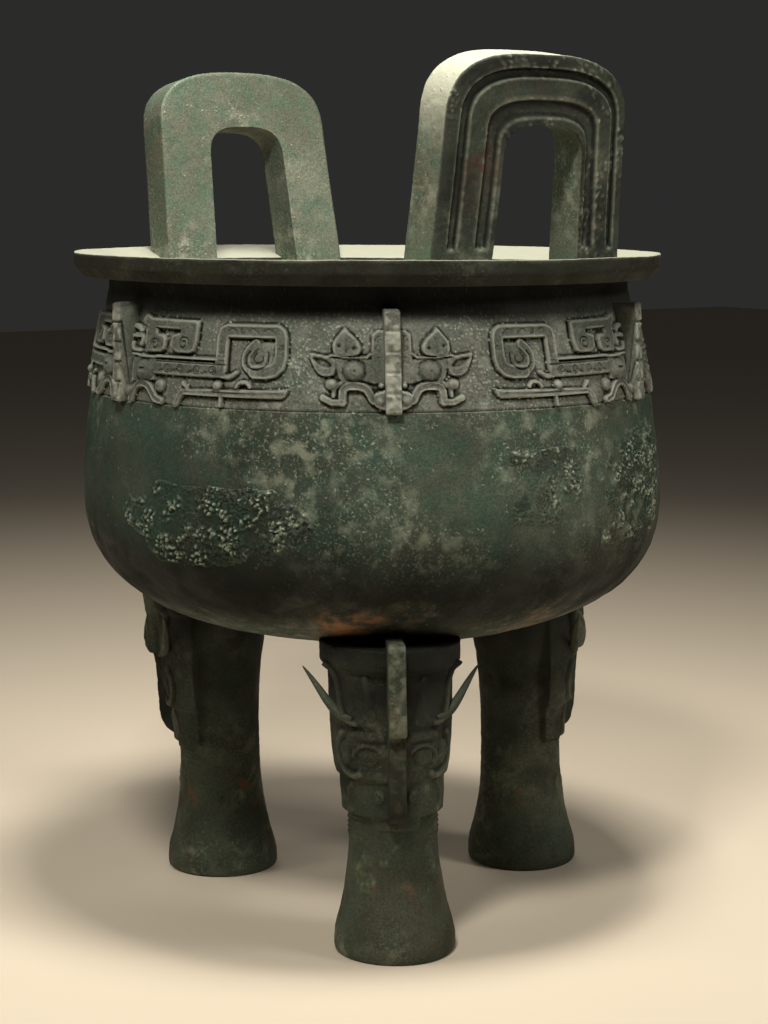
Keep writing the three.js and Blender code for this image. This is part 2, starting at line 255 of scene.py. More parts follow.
class ReliefSheet:
    """Raised and cut ornament over a grid of places on a flat sheet, in millimetres."""

    def __init__(self, across: Array, up: Array) -> None:
        """Start with a level sheet.

        Args:
            across: each grid point's distance along the sheet.
            up: each grid point's height on the sheet.
        """
        self.across = across
        self.up = up
        self.height = np.zeros_like(across)

    def _off_line(self, line: Array) -> Array:
        """Distance from every grid point to a line: the least of those to its short stretches.

        Args:
            line: its samples, one row each.

        Returns:
            One distance for each grid point.
        """
        nearest = np.full(self.across.shape, 1e9)
        for (ax, ay), (bx, by) in zip(line[:-1], line[1:]):
            dx, dy = bx - ax, by - ay
            length = max(dx * dx + dy * dy, 1e-12)
            px, py = self.across - ax, self.up - ay
            t = np.clip((px * dx + py * dy) / length, 0.0, 1.0)
            nearest = np.minimum(nearest, (px - t * dx) ** 2 + (py - t * dy) ** 2)
        return np.sqrt(nearest)

    def _inside(self, line: Array) -> Array:
        """Whether each grid point lies inside a closed line: the crossings to its right are odd.

        Args:
            line: its corners, one row each.

        Returns:
            True or false for each grid point.
        """
        odd = np.zeros(self.across.shape, bool)
        for (ax, ay), (bx, by) in zip(line, np.roll(line, -1, axis=0)):
            if ay == by:
                continue
            spans = (ay > self.up) != (by > self.up)
            crossing = ax + (self.up - ay) * (bx - ax) / (by - ay)
            odd ^= spans & (self.across < crossing)
        return odd

    def band(self, line: Array | Sequence[Point], width: float, height: float,
             edge: float = 1.0, dish: float = 0.0) -> None:
        """Raise a band along a line, with a flat or dished top.

        Args:
            line: the band's middle.
            width: its width.
            height: its height above the sheet.
            edge: the width of its sloping side.
            dish: how far its middle sinks between two border ridges.
        """
        off = self._off_line(np.asarray(line, float))
        top = height * smooth((width / 2 - off) / edge + 0.5)
        if dish:
            top -= dish * smooth((0.27 * width - off) / edge + 0.5)
        self.height = np.maximum(self.height, top)

    def _past_edge(self, outline: Array | Sequence[Point]) -> Array:
        """Distance from every grid point to a closed outline, negative inside it."""
        line = np.asarray(outline, float)
        off = self._off_line(np.vstack([line, line[:1]]))
        return np.where(self._inside(line), -off, off)

    def patch(self, outline: Array | Sequence[Point], height: float, edge: float = 1.0) -> None:
        """Raise the area inside a closed outline to one height, with a sloping side."""
        off = self._past_edge(outline)
        self.height = np.maximum(self.height, height * smooth(0.5 - off / edge))

    def dome(self, middle: Point, radii: Point, height: float) -> None:
        """Raise a rounded boss: the upper half of an ellipsoid."""
        x = (self.across - middle[0]) / radii[0]
        y = (self.up - middle[1]) / radii[1]
        top = height * np.sqrt(np.clip(1.0 - x * x - y * y, 0.0, 1.0))
        self.height = np.maximum(self.height, top)

    def cut(self, line: Array | Sequence[Point], width: float, depth: float) -> None:
        """Cut a round-bottomed channel along a line."""
        off = self._off_line(np.asarray(line, float))
        self.height -= depth * smooth(1.0 - off / (0.75 * width))

    def hollow(self, outline: Array | Sequence[Point], depth: float, edge: float = 1.6) -> None:
        """Sink the area inside a closed outline by one depth, with a sloping side."""
        self.height -= depth * smooth(0.5 - self._past_edge(outline) / edge)


# ---------------------------------------------------------------- grids to meshes


class Ends(Enum):
    """How a lofted grid is closed at its two ends."""

    POLES = "each end station shrinks to one point"
    CAPS = "each end station is filled by one flat face"
    RING = "the last station joins the first"


@dataclass
class Skin:
    """A grid surface with the marks that its finish reads."""

    points: Array
    ends: Ends
    marks: dict[str, Array] = field(default_factory=dict)


def blurred(values: Array, cells: int, wrap: bool) -> Array:
    """Mean over a square of grid cells, taken along each axis in turn from running sums.

    Args:
        values: one value for each grid point.
        cells: how far the square reaches each way.
        wrap: whether the second axis goes all the way round.

    Returns:
        The means.
    """
    out = values
    for axis in (0, 1):
        mode = "wrap" if (wrap and axis == 1) else "edge"
        pad = [(0, 0), (0, 0)]
        pad[axis] = (cells + 1, cells)
        total = np.cumsum(np.pad(out, pad, mode=mode), axis=axis)
        size = out.shape[axis]
        high = np.take(total, np.arange(2 * cells + 1, 2 * cells + 1 + size), axis=axis)
        low = np.take(total, np.arange(0, size), axis=axis)
        out = (high - low) / (2 * cells + 1)
    return out


def relief_marks(height: Array, cells: int = 3, wrap: bool = True) -> dict[str, Array]:
    """Where a relief stands proud of its surroundings and where it is sunk.

    Args:
        height: relief on the grid, in millimetres.
        cells: how far around each point to compare.
        wrap: whether the grid's second axis goes all the way round.

    Returns:
        The marks worn and hollow, each from 0 to 1; hollow is painted shade in sunk places.
    """
    proud = height - blurred(height, cells, wrap)
    return {
        "worn": np.clip((proud - 0.25) / 1.4, 0.0, 1.0),
        "hollow": np.clip((-proud - 0.15) / 1.4, 0.0, 1.0),
    }


def grid_faces(rows: int, columns: int, ring: bool) -> Array:
    """Four-cornered faces between neighbouring stations of a grid whose columns go round."""
    last = rows if ring else rows - 1
    r = np.arange(last)[:, None]
    c = np.arange(columns)[None, :]
    nxt, side = (r + 1) % rows, (c + 1) % columns
    corners = [r * columns + c, r * columns + side, nxt * columns + side, nxt * columns + c]
    return np.stack([np.broadcast_to(k, (last, columns)) for k in corners], axis=-1).reshape(-1, 4)


def skin_parts(skin: Skin) -> tuple[Array, list[Array], dict[str, Array]]:
    """Turn a grid surface into corners, faces and marks, closed and facing out.

    Args:
        skin: stations by columns of places; the columns go round.

    Returns:
        Corner places in millimetres, faces as arrays of corner numbers, and one value of
        each mark for each corner.
    """
    points = skin.points
    rows, columns = points.shape[:2]
    marks = {name: value.reshape(-1) for name, value in skin.marks.items()}
    faces: list[Array] = []
    if skin.ends is Ends.POLES:
        inner = points[1:-1].reshape(-1, 3)
        places = np.vstack([inner, points[0].mean(axis=0), points[-1].mean(axis=0)])
        quads = grid_faces(rows - 2, columns, False)
        c = np.arange(columns)
        side = (c + 1) % columns
        foot, head = len(inner), len(inner) + 1
        top = (rows - 3) * columns
        faces = [quads, np.c_[np.full(columns, foot), side, c],
                 np.c_[np.full(columns, head), top + c, top + side]]
        marks = {n: np.r_[v[columns:-columns], v[0], v[-1]] for n, v in marks.items()}
    else:
        places = points.reshape(-1, 3)
        faces = [grid_faces(rows, columns, skin.ends is Ends.RING)]
        if skin.ends is Ends.CAPS:
            first = np.arange(columns)
            faces += [first[::-1][None, :], ((rows - 1) * columns + first)[None, :]]
    if signed_volume(places, faces) < 0:
        faces = [f[:, ::-1] for f in faces]
    return places, faces, marks


def signed_volume(places: Array, faces: list[Array]) -> float:
    """Six times the volume inside the faces, positive when they face out."""
    total = 0.0
    middle = places.mean(axis=0)
    for group in faces:
        first = places[group[:, 0]] - middle
        for k in range(1, group.shape[1] - 1):
            second = places[group[:, k]] - middle
            third = places[group[:, k + 1]] - middle
            total += float(np.einsum("ij,ij->", first, np.cross(second, third)))
    return total


def make_piece(name: str, skins: Sequence[Skin], finish: bpy.types.Material,
               sharp_degrees: float = 62.0) -> bpy.types.Object:
    """Write closed skins into one mesh object, in metres, with marks and smooth shading.

    Args:
        name: the piece's name.
        skins: closed surfaces, in millimetres.
        finish: its material.
        sharp_degrees: edges that turn by more than this stay crisp.

    Returns:
        The new object, at the origin.
    """
    places: list[Array] = []
    loops: list[Array] = []
    sizes: list[Array] = []
    marks: dict[str, list[Array]] = {key: [] for key in MARKS}
    start = 0
    for skin in skins:
        corner, faces, found = skin_parts(skin)
        places.append(corner)
        for group in faces:
            loops.append((group + start).reshape(-1))
            sizes.append(np.full(len(group), group.shape[1]))
        for key, values in marks.items():
            values.append(found.get(key, np.zeros(len(corner))))
        start += len(corner)
    vertices, corners, counts = np.vstack(places) * MM, np.concatenate(loops), np.concatenate(sizes)
    mesh = bpy.data.meshes.new(name)
    mesh.vertices.add(len(vertices))
    mesh.vertices.foreach_set("co", vertices.astype(np.float32).reshape(-1))
    mesh.loops.add(len(corners))
    mesh.loops.foreach_set("vertex_index", corners.astype(np.int32))
    mesh.polygons.add(len(counts))
    mesh.polygons.foreach_set("loop_start", np.r_[0, np.cumsum(counts)[:-1]].astype(np.int32))
    mesh.update(calc_edges=True)
    mesh.validate()
    for key, values in marks.items():
        layer = mesh.attributes.new(key, "FLOAT", "POINT")
        layer.data.foreach_set("value", np.concatenate(values).astype(np.float32))
    mesh.shade_smooth()
    mesh.polygons.foreach_set("use_smooth", counts <= 4)
    mesh.set_sharp_from_angle(angle=np.radians(sharp_degrees))
    mesh.materials.append(finish)
    piece = bpy.data.objects.new(name, mesh)
    bpy.context.scene.collection.objects.link(piece)
    triangles = int(np.sum(counts - 2))
    LOG.info("piece %s: %d corners, %d triangles", name, len(vertices), triangles)
    return piece


# ---------------------------------------------------------------- the form they all share


@dataclass(frozen=True)
class Casting:
    """The bowl's outline and the slight lean of the whole casting."""

    rim_radius: float = 306.5
    rim_top: float = 692.0
    rim_edge: float = 14.0
    rim_chamfer: float = 11.0
    rim_inset: float = 10.0
    rim_fall: float = 14.0
    mouth_radius: float = 262.0
    neck_radius: float = 271.5
    neck_height: float = 655.0
    neck_power: float = 1.6
    belly_radius: float = 305.3
    belly_height: float = 445.0
    bottom: float = 291.5
    bottom_power: float = 2.54
    wall: float = 9.0
    floor_wall: float = 11.0
    lean_slope: float = 0.0217
    lean_level: float = 595.0
    lean_direction: float = 56.0
    dent: float = 0.9
    lump: float = 0.4

    @property
    def rim_under(self) -> float:
        """Height of the rim's flat underside."""
        return self.rim_top - self.rim_edge - self.rim_chamfer

    def leaned(self, points: Array) -> Array:
        """Shift each level sideways in step with its height, as the casting leans."""
        shift = self.lean_slope * (self.lean_level - points[..., 2:3])
        turn = np.radians(self.lean_direction)
        return points + shift * np.array([np.cos(turn), np.sin(turn), 0.0])

    def upper_radius(self, height: Array) -> Array:
        """Outside radius above the belly: it draws in by a power of the rise, then stands plumb."""
        rise = (height - self.belly_height) / (self.neck_height - self.belly_height)
        rise = np.clip(rise, 0.0, 1.0)
        return self.belly_radius - (self.belly_radius - self.neck_radius) * rise**self.neck_power

    def wall_radius(self, height: Array) -> Array:
        """Outside radius at any height: below the widest line it follows a rounded-square curve."""
        below = np.clip((self.belly_height - height) / (self.belly_height - self.bottom), 0.0, 1.0)
        curve = self.belly_radius * (1.0 - below**self.bottom_power) ** (1 / self.bottom_power)
        return np.where(height > self.belly_height, self.upper_radius(height), curve)

    def under_height(self, radius: Array) -> Array:
        """Height of the bowl's outside below its widest line, at a radius."""
        out = np.clip(radius / self.belly_radius, 0.0, 1.0)
        deep = self.belly_height - self.bottom
        return self.belly_height - deep * (1.0 - out**self.bottom_power) ** (1 / self.bottom_power)

    def dents(self, base: Array) -> Array:
        """The broad dents and small lumps of the belly's skin, outwards."""
        broad = self.dent * noise(base, 80.0, Pattern.BELLY_DENTS, 2)
        return broad + self.lump * noise(base, 13.0, Pattern.BELLY_LUMPS, 2)

    def around(self, radius: Array, turn: Array, height: Array) -> Array:
        """Places on turned surfaces, from radius, direction in radians and height."""
        return np.stack(np.broadcast_arrays(radius * np.cos(turn), radius * np.sin(turn), height), -1)


# ---------------------------------------------------------------- outlines


def evenly(line: Array, step: float) -> Array:
    """Sample a line again at even distances along it.

    Args:
        line: its samples, one row each.
        step: the distance that the new samples come close to.

    Returns:
        The new samples, one row each.
    """
    run = np.r_[0.0, np.cumsum(np.linalg.norm(np.diff(line, axis=0), axis=1))]
    at = np.linspace(0.0, run[-1], max(int(round(run[-1] / step)), 2) + 1)
    return np.stack([np.interp(at, run, line[:, k]) for k in range(line.shape[1])], axis=-1)


def rounded_loop(corners: Sequence[Point], radii: Sequence[float], step: float,
                 bend: int = 4) -> Array:
    """A closed outline with rounded corners.

    Args:
        corners: its corners in order.
        radii: how far each corner's rounding reaches along its two sides.
        step: distance between samples on the straight stretches.
        bend: samples on each rounding.

    Returns:
        The outline's samples, one row each.
    """
    p = np.array(corners, float)
    count = len(p)
    t = np.linspace(0.0, 1.0, bend)[:, None]
    out = []
    for i in range(count):
        corner, before, after = p[i], p[i - 1], p[(i + 1) % count]
        back = (before - corner) / np.linalg.norm(before - corner)
        on = (after - corner) / np.linalg.norm(after - corner)
        start, end = corner + back * radii[i], corner + on * radii[i]
        out.append((1 - t) ** 2 * start + 2 * t * (1 - t) * corner + t**2 * end)
        goal = after - on * radii[(i + 1) % count]
        pieces = max(int(round(np.linalg.norm(goal - end) / step)), 1)
        out.append(end + (goal - end) * (np.arange(1, pieces) / pieces)[:, None])
    return np.vstack(out)


def outline_normals(loop: Array) -> Array:
    """Unit normals of a closed outline, pointing out of it."""
    along = np.roll(loop, -1, axis=0) - np.roll(loop, 1, axis=0)
    normal = np.stack([along[:, 1], -along[:, 0]], axis=-1)
    normal /= np.maximum(np.linalg.norm(normal, axis=1, keepdims=True), 1e-9)
    x, y = loop.T
    area = np.sum(x * np.roll(y, -1) - np.roll(x, -1) * y)
    return normal if area > 0 else -normal


def slab(loop: Array, width: float, step: float, edge: float,
         chips: Callable[[Array], Array] | None = None) -> Array:
    """A plate: an outline in the X-Z plane, carried across Y, with rounded edges.

    Args:
        loop: the outline, one (x, z) row each.
        width: the plate's width.
        step: distance between the stations across it.
        edge: radius of its rounded edges.
        chips: how far the edge has crumbled at given places, in millimetres.

    Returns:
        Places by station and outline sample.
    """
    inner = np.arange(-(width / 2 - edge), width / 2 - edge + 1e-6,
                      (width - 2 * edge) / max(round((width - 2 * edge) / step), 1))
    turn = np.linspace(0.0, 1.0, 4)[1:] * np.pi / 2
    past = width / 2 - edge + edge * np.sin(turn)
    drop = np.r_[edge * (1 - np.cos(turn))[::-1], np.zeros(len(inner)), edge * (1 - np.cos(turn))]
    across = np.r_[-past[::-1], inner, past]
    normal = outline_normals(loop)
    flat = loop[None] - drop[:, None, None] * normal[None]
    points = np.stack(np.broadcast_arrays(flat[..., 0], across[:, None], flat[..., 1]), -1)
    if chips is not None:
        lost = chips(points)[..., None]
        points = points - lost * np.stack([normal[:, 0], 0 * normal[:, 0], normal[:, 1]], -1)[None]
    return points


def turned_about(points: Array, degrees: float, out: float = 0.0) -> Array:
    """Move places out along +X, then turn them about the upright axis."""
    x, y = points[..., 0] + out, points[..., 1]
    c, s = np.cos(np.radians(degrees)), np.sin(np.radians(degrees))
    return np.stack([c * x - s * y, s * x + c * y, points[..., 2]], axis=-1)


# ---------------------------------------------------------------- the pieces


@dataclass(frozen=True)
class CastPiece:
    """One visible piece of the casting: closed skins that share its lean and its finish."""

    casting: Casting
    name: str

    def skins(self) -> list[Skin]:
        """The piece's closed surfaces, before the lean."""
        raise NotImplementedError

    def build(self, finish: bpy.types.Material) -> bpy.types.Object:
        """Make the piece and tell the frame what it is.

        Args:
            finish: its material.

        Returns:
            The finished object.
        """
        settled = [Skin(self.casting.leaned(s.points), s.ends, s.marks) for s in self.skins()]
        piece = make_piece(self.name, settled, finish)
        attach(piece, BODY)
        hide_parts(NODE)
        return piece


@dataclass(frozen=True)
class Rim(CastPiece):
    """The flat flaring lip, with its worn outer edge, a dusty top with a painted highlight, and painted
    shade on its other faces.
    """

    columns: int = 500
    step: float = 2.4
    wave: float = 0.7
    nick: float = 1.1
    grit: float = 0.22
    plain_radius: float = 285.0
    plain_fade: float = 15.0
    under_level: float = 668.0
    # Painted shade on every face of the rim but its top.
    side_shade: float = 0.62

    def skins(self) -> list[Skin]:
        """One ring whose section is a sloping top, an upright edge and a chamfered underside."""
        c = self.casting
        section = rounded_loop(
            [(c.neck_radius - c.wall, c.rim_under), (c.mouth_radius, c.rim_top - c.rim_fall),
             (c.rim_radius, c.rim_top), (c.rim_radius, c.rim_top - c.rim_edge),
             (c.rim_radius - c.rim_inset, c.rim_under)],
            [0.5, 2.5, 1.8, 1.8, 1.2], self.step)
        turn = np.linspace(0.0, 2 * np.pi, self.columns, endpoint=False)[:, None]
        base = c.around(section[None, :, 0], turn, section[None, :, 1])
        outer = smooth((section[:, 0] - self.plain_radius) / self.plain_fade)[None]
        raised = smooth((section[:, 1] - self.under_level) / 8.0)[None]
        nicks = np.clip(noise(base, 7.0, Pattern.RIM_NICKS) - 0.45, 0.0, 1.0) * 2.2
        nicks = nicks + 0.5 * noise(base, 16.0, Pattern.RIM_EDGE)
        waves = self.wave * noise(base, 70.0, Pattern.RIM_WAVE)
        out = section[None, :, 0] + outer * (waves - self.nick * nicks)
        lift = self.wave * raised * noise(base, 90.0, Pattern.RIM_LIFT)
        lift = lift + self.grit * noise(base, 8.0, Pattern.RIM_GRIT, 2) * raised
        points = c.around(out, turn, section[None, :, 1] + lift)
        edge = outer * bump_at(section[:, 1], c.rim_top - 1.0, 4.0)[None]
        slope = c.rim_fall / (c.rim_radius - c.mouth_radius)
        above = section[:, 1] - c.rim_top + slope * (c.rim_radius - section[:, 0])
        # The top face: pale dust with a painted highlight; the other faces get painted shade.
        dust_and_highlight = np.broadcast_to(smooth(above + 1.2)[None], out.shape)
        worn = np.clip(edge * (0.6 + 0.7 * noise(base, 20.0, Pattern.RIM_WEAR)), 0.0, 1.0)
        marks = {"worn": worn, "crust_and_highlight": dust_and_highlight, "dark_tone_and_shade": self.side_shade * (1.0 - dust_and_highlight)}
        return [Skin(points, Ends.RING, marks)]


@dataclass(frozen=True)
class Frieze(CastPiece):
    """A third of the carved band, centred on a leg flange, with the plain recess above it."""

    middle: float = 90.0
    foot: float = 549.0
    carved_top: float = 640.0
    step: float = 1.08
    sheet_radius: float = 290.0
    half_turn: float = 60.0
    boldness: float = 1.3
    full_height: float = 3.6
    # Height above which the rim's shadow is painted on the recess and band.
    painted_shade_level: float = 628.0

    def carve(self, sheet: ReliefSheet) -> None:
        """Draw half of the beast mask at the flange and the dragon that faces it."""
        self.carve_mask(sheet)
        self.carve_tail(sheet)
        self.carve_body(sheet)
        self.carve_head(sheet)
        sheet.cut([(-5.0, 550.5), (310.0, 550.5)], 1.6, 1.4)

    def carve_mask(self, sheet: ReliefSheet) -> None:
        """The frontal beast mask that the leg flange divides."""
        sheet.patch([(0, 577), (19, 577), (19.5, 600), (19, 622), (14, 626), (0, 626)], 2.6)
        sheet.patch([(17, 577), (28, 579.5), (46, 577), (50, 582), (57, 600.5), (24, 600.5),
                     (18, 598)], 2.0)
        leaf = curve_path([(54, 600), (66, 600.5), (77.5, 603), (75, 594), (69, 585.5),
                           (60, 583.5), (54, 587)], closed=True)
        sheet.patch(leaf, 3.2)
        sheet.hollow(curve_path([(57, 593), (62, 598.5), (74, 600.5), (69, 594.5), (62, 592)],
                                closed=True), 2.2)
        spade = curve_path([(44.5, 628.0), (50, 622.5), (55.5, 615), (56, 608), (52, 603), (35, 602.5),
                            (29.5, 606), (29, 612), (34, 619), (40, 624)], closed=True)
        sheet.patch(spade, 4.0, edge=1.6)
        for dimple in ((35.5, 609.5), (50.0, 611.5)):
            sheet.cut([dimple, (dimple[0] + 0.1, dimple[1])], 4.0, 1.7)
        sheet.cut([(42.5, 618), (43, 605)], 2.0, 1.0)
        for level in (617.0, 609.0, 598.0):
            sheet.cut(spiral((12.5, level), 3.4, 1.1, 0.25), 1.1, 1.0)
        sheet.band([(20, 604), (23.5, 600.8), (40, 600.6), (56, 603), (61, 601), (77, 603.5)], 2.4, 3.6)
        sheet.band([(18.5, 579), (19.3, 590), (22, 596), (30, 598.5)], 1.8, 2.7)
        sheet.dome((35.5, 588.8), (10.0, 10.0), 6.5)
        turn = np.linspace(0, 2 * np.pi, 24)
        sheet.cut(np.array([35.5, 588.8]) + 11.2 * np.c_[np.cos(turn), np.sin(turn)], 1.1, 0.8)
        sheet.cut([(35.4, 588.8), (35.6, 588.8)], 2.4, 1.6)
        sheet.dome((57, 576.0), (6.4, 5.6), 4.6)
        sheet.band(curve_path([(48, 577), (54, 572), (55, 565)]), 4.0, 2.6)
        jaw = curve_path([(12, 563), (18, 561.5), (21.5, 567.5), (26, 573), (35, 575), (42.5, 574),
                          (46.5, 569.5), (47, 560)])
        sheet.band(jaw, 7.5, 3.6, dish=0.7)
        sheet.band([(46, 559.5), (56, 559.5), (65, 563.5)], 6.0, 3.4)
        sheet.patch(curve_path([(0, 555), (8, 553), (17, 557), (18, 566), (12, 570), (0, 571)],
                               closed=True), 4.5)
        sheet.dome((12, 561.5), (6.4, 6.4), 6.4)
        sheet.dome((10.5, 575.5), (3.2, 3.2), 5.0)

    def carve_tail(self, sheet: ReliefSheet) -> None:
        """The dragon's tail: a square hook with a curl inside it."""
        outer = [(168.2, 592), (168.2, 618), (166.8, 622), (163.0, 623.4), (111, 623.6), (107.5, 621.5),
                 (106, 617), (105.8, 600), (108, 592), (113, 587.5), (120, 586), (132, 586)]
        sheet.patch(curve_path([(114, 612), (136, 610), (144, 600), (140, 586), (118, 586), (108, 596)],
                               closed=True), 1.7, edge=2.4)
        inner = curve_path([(124, 586), (134, 587), (140.6, 592.5), (141, 601), (137, 607),
                            (132, 611.5)])
        sheet.band(inner, 9.5, 3.3, edge=1.4, dish=0.6)
        sheet.band(outer, 13.0, 3.5, edge=1.3, dish=0.7)
        sheet.cut(curve_path([(137, 605), (141.5, 599), (140, 591.5), (132, 588), (123, 590), (118.8, 596),
                              (119, 604)]), 1.7, 1.7)
        sheet.cut(curve_path([(131, 603), (134, 598), (130.5, 594), (125, 595.5), (124, 600)]), 1.5, 1.4)
        for start, end in ((112.0, 126.0), (130.0, 141.0), (153.0, 163.0)):
            sheet.cut(curve_path([(start, 621.6), (0.5 * (start + end), 625.6), (end, 622.8)]), 1.1, 1.1)
        sheet.cut(spiral((147, 623), 2.8, 1.2, 0.0), 1.1, 1.1)
        sheet.cut(spiral((105.8, 608), 3.2, 1.3, 0.3), 1.1, 1.1)
        sheet.cut(spiral((168.2, 605), 3.2, 1.3, 0.6), 1.1, 1.1)

    def carve_body(self, sheet: ReliefSheet) -> None:
        """The dragon's long body, its blade-shaped leg and its two feet."""
        sheet.band([(170, 585.8), (262, 585.8)], 13.5, 3.2)
        sheet.band(curve_path([(176, 584), (166, 581), (158, 580.5), (151, 584.5)]), 4.6, 3.2)
        sheet.patch([(161.7, 594), (161.7, 584), (168, 581), (174.7, 583), (174.7, 594)], 3.3)
        sheet.band(curve_path([(163, 597), (176, 596.3), (240, 595.8), (265, 594.8), (291, 596.2)]),
                   2.6, 3.8)
        sheet.cut([(163, 591.4), (252, 591.4)], 1.5, 1.4)
        for place, hand in ((178.0, 1), (196.0, -1), (217.5, 1), (234.0, -1)):
            sheet.cut(spiral((place, 585.4), 4.6, 1.5, 0.2, hand), 1.5, 1.5)
            sheet.cut([(place + 4, 584.5), (place + 11, 582.5)], 1.4, 1.3)
        sheet.patch([(96.5, 571.5), (104, 569.8), (212, 566.8), (213, 561.3), (104, 561.8),
                     (100, 564)], 3.4)
        sheet.cut([(108, 566.0), (208, 564.4)], 1.1, 1.0)
        sheet.band(curve_path([(150, 571), (147, 575), (140, 575.5), (136, 571.5)]), 3.6, 3.2)
        sheet.dome((171, 571.5), (5.5, 5.5), 5.0)
        sheet.band([(166, 562), (166.5, 553.5)], 4.2, 3.2)
        sheet.band(curve_path([(212, 564), (216, 558), (219, 552)]), 6.5, 3.4)
        sheet.band([(206, 567), (212, 572.5)], 3.4, 3.0)

    def carve_head(self, sheet: ReliefSheet) -> None:
        """The dragon's head against the in-between flange, with its bottle-shaped horn and claws."""
        sheet.patch([(252, 594), (290, 594), (288, 570), (270, 569.5), (252, 573)], 2.4)
        sheet.band([(203, 626.8), (268, 627.4), (275, 630.5)], 9.5, 3.4, edge=1.4)
        left = [(198.5, 632), (198.5, 612), (201.5, 602.5), (208, 600.5), (224, 600.5), (232, 605),
                (232.5, 616), (228, 618), (221, 619), (221, 624)]
        right = [(240, 612), (243, 616.5), (254, 617.5), (255, 622), (272, 627), (272, 608),
                 (266, 599.5), (247, 599.5), (241, 603)]
        sheet.patch(left, 3.5, edge=1.6)
        sheet.patch(right, 3.5, edge=1.6)
        sheet.cut(spiral((216, 609.5), 6.8, 1.4, 0.1), 1.7, 1.8)
        sheet.cut(spiral((256, 607), 6.0, 1.4, 0.4, -1), 1.7, 1.8)
        for middle in ((206.0, 626.5), (238.0, 627.2), (262.0, 627.4)):
            sheet.cut(spiral(middle, 2.8, 1.2, 0.5), 1.0, 1.0)
        sheet.band(curve_path([(300, 623.5), (288, 622), (283, 619)]), 5.0, 3.2)
        sheet.band(curve_path([(279, 606), (277, 612), (283, 614.5), (296, 613.5)]), 4.5, 3.2)
        sheet.band(curve_path([(280, 600), (292, 600.5), (296, 606)]), 4.0, 3.0)
        sheet.dome((267.5, 582), (15.0, 11.0), 7.0)
        sheet.cut([(264, 583.5), (271, 583.5)], 2.2, 2.0)
        claws = curve_path([(240, 553.5), (248, 556), (254, 562), (259, 566.5), (270, 569),
                            (279, 565.5), (284, 558), (286, 552)])
        sheet.band(claws, 7.0, 3.8, dish=0.7)
        sheet.dome((243, 568), (7.0, 6.5), 4.5)
        sheet.dome((290, 560), (8.0, 5.5), 4.5)
        sheet.dome((299, 560), (7.0, 7.0), 4.5)

    def skins(self) -> list[Skin]:
        """The panel: carved outside, plain inside, cut off square at its two ends."""
        c = self.casting
        low = np.arange(self.foot, self.carved_top, self.step)
        high = np.linspace(self.carved_top, c.rim_under, 7)
        height = np.r_[low, high]
        half = np.radians(self.half_turn)
        count = int(round(half * self.sheet_radius / self.step))
        turn = np.linspace(0.0, half, count + 1)
        sheet = ReliefSheet(*np.meshgrid(turn * self.sheet_radius, height, indexing="ij"))
        self.carve(sheet)
        relief = self.boldness * np.vstack([sheet.height[:0:-1], sheet.height])
        angle = np.r_[-turn[:0:-1], turn][:, None] + np.radians(self.middle)
        base = c.around(c.upper_radius(height)[None], angle, height[None])
        proud = np.clip(relief / self.full_height, 0.0, 1.0)
        rough = 0.26 * noise(base, 2.8, Pattern.BAND_GRIT)
        rough = rough + 0.24 * noise(base, 9.0, Pattern.BAND_LUMPS, 2)
        clusters = smooth(noise(base, 45.0, Pattern.BAND_CLUSTERS) + 0.5)
        crumbs = np.clip(grains(base, 3.8, Pattern.BAND_CRUMBS) - 0.6, 0.0, 1.0) * 2.2 * clusters
        swell = 0.5 * noise(base, 60.0, Pattern.BAND_SWELL)
        fade = smooth((height - self.foot) / 4.0) * smooth((c.rim_under - height) / 4.0)
        out = relief + fade[None] * (rough * (1.0 - 0.35 * proud) + crumbs * (1 - proud) + swell)
        outside = c.around(c.upper_radius(height)[None] + out, angle, height[None])
        down = np.linspace(c.rim_under, self.foot, 9)
        inside = c.around(c.upper_radius(down)[None] - c.wall, angle, down[None])
        marks = relief_marks(relief + rough, 3, wrap=False)
        marks["crust_and_highlight"] = 0.9 * np.clip(crumbs * 1.6, 0.0, 1.0) * (1 - proud)
        marks["dark_tone_and_shade"] = 0.22 * proud
        pad = ((0, 0), (0, len(down)))
        marks = {name: np.pad(value, pad) for name, value in marks.items()}
        # Painted shadow of the rim over the plain recess and the top of the carving.
        shade = smooth((height - self.painted_shade_level) / 14.0)
        under = np.pad(np.broadcast_to(shade, out.shape), pad)
        marks["dark_tone_and_shade"] = np.maximum(marks["dark_tone_and_shade"], 0.93 * under)
        return [Skin(np.concatenate([outside, inside], axis=1), Ends.CAPS, marks)]


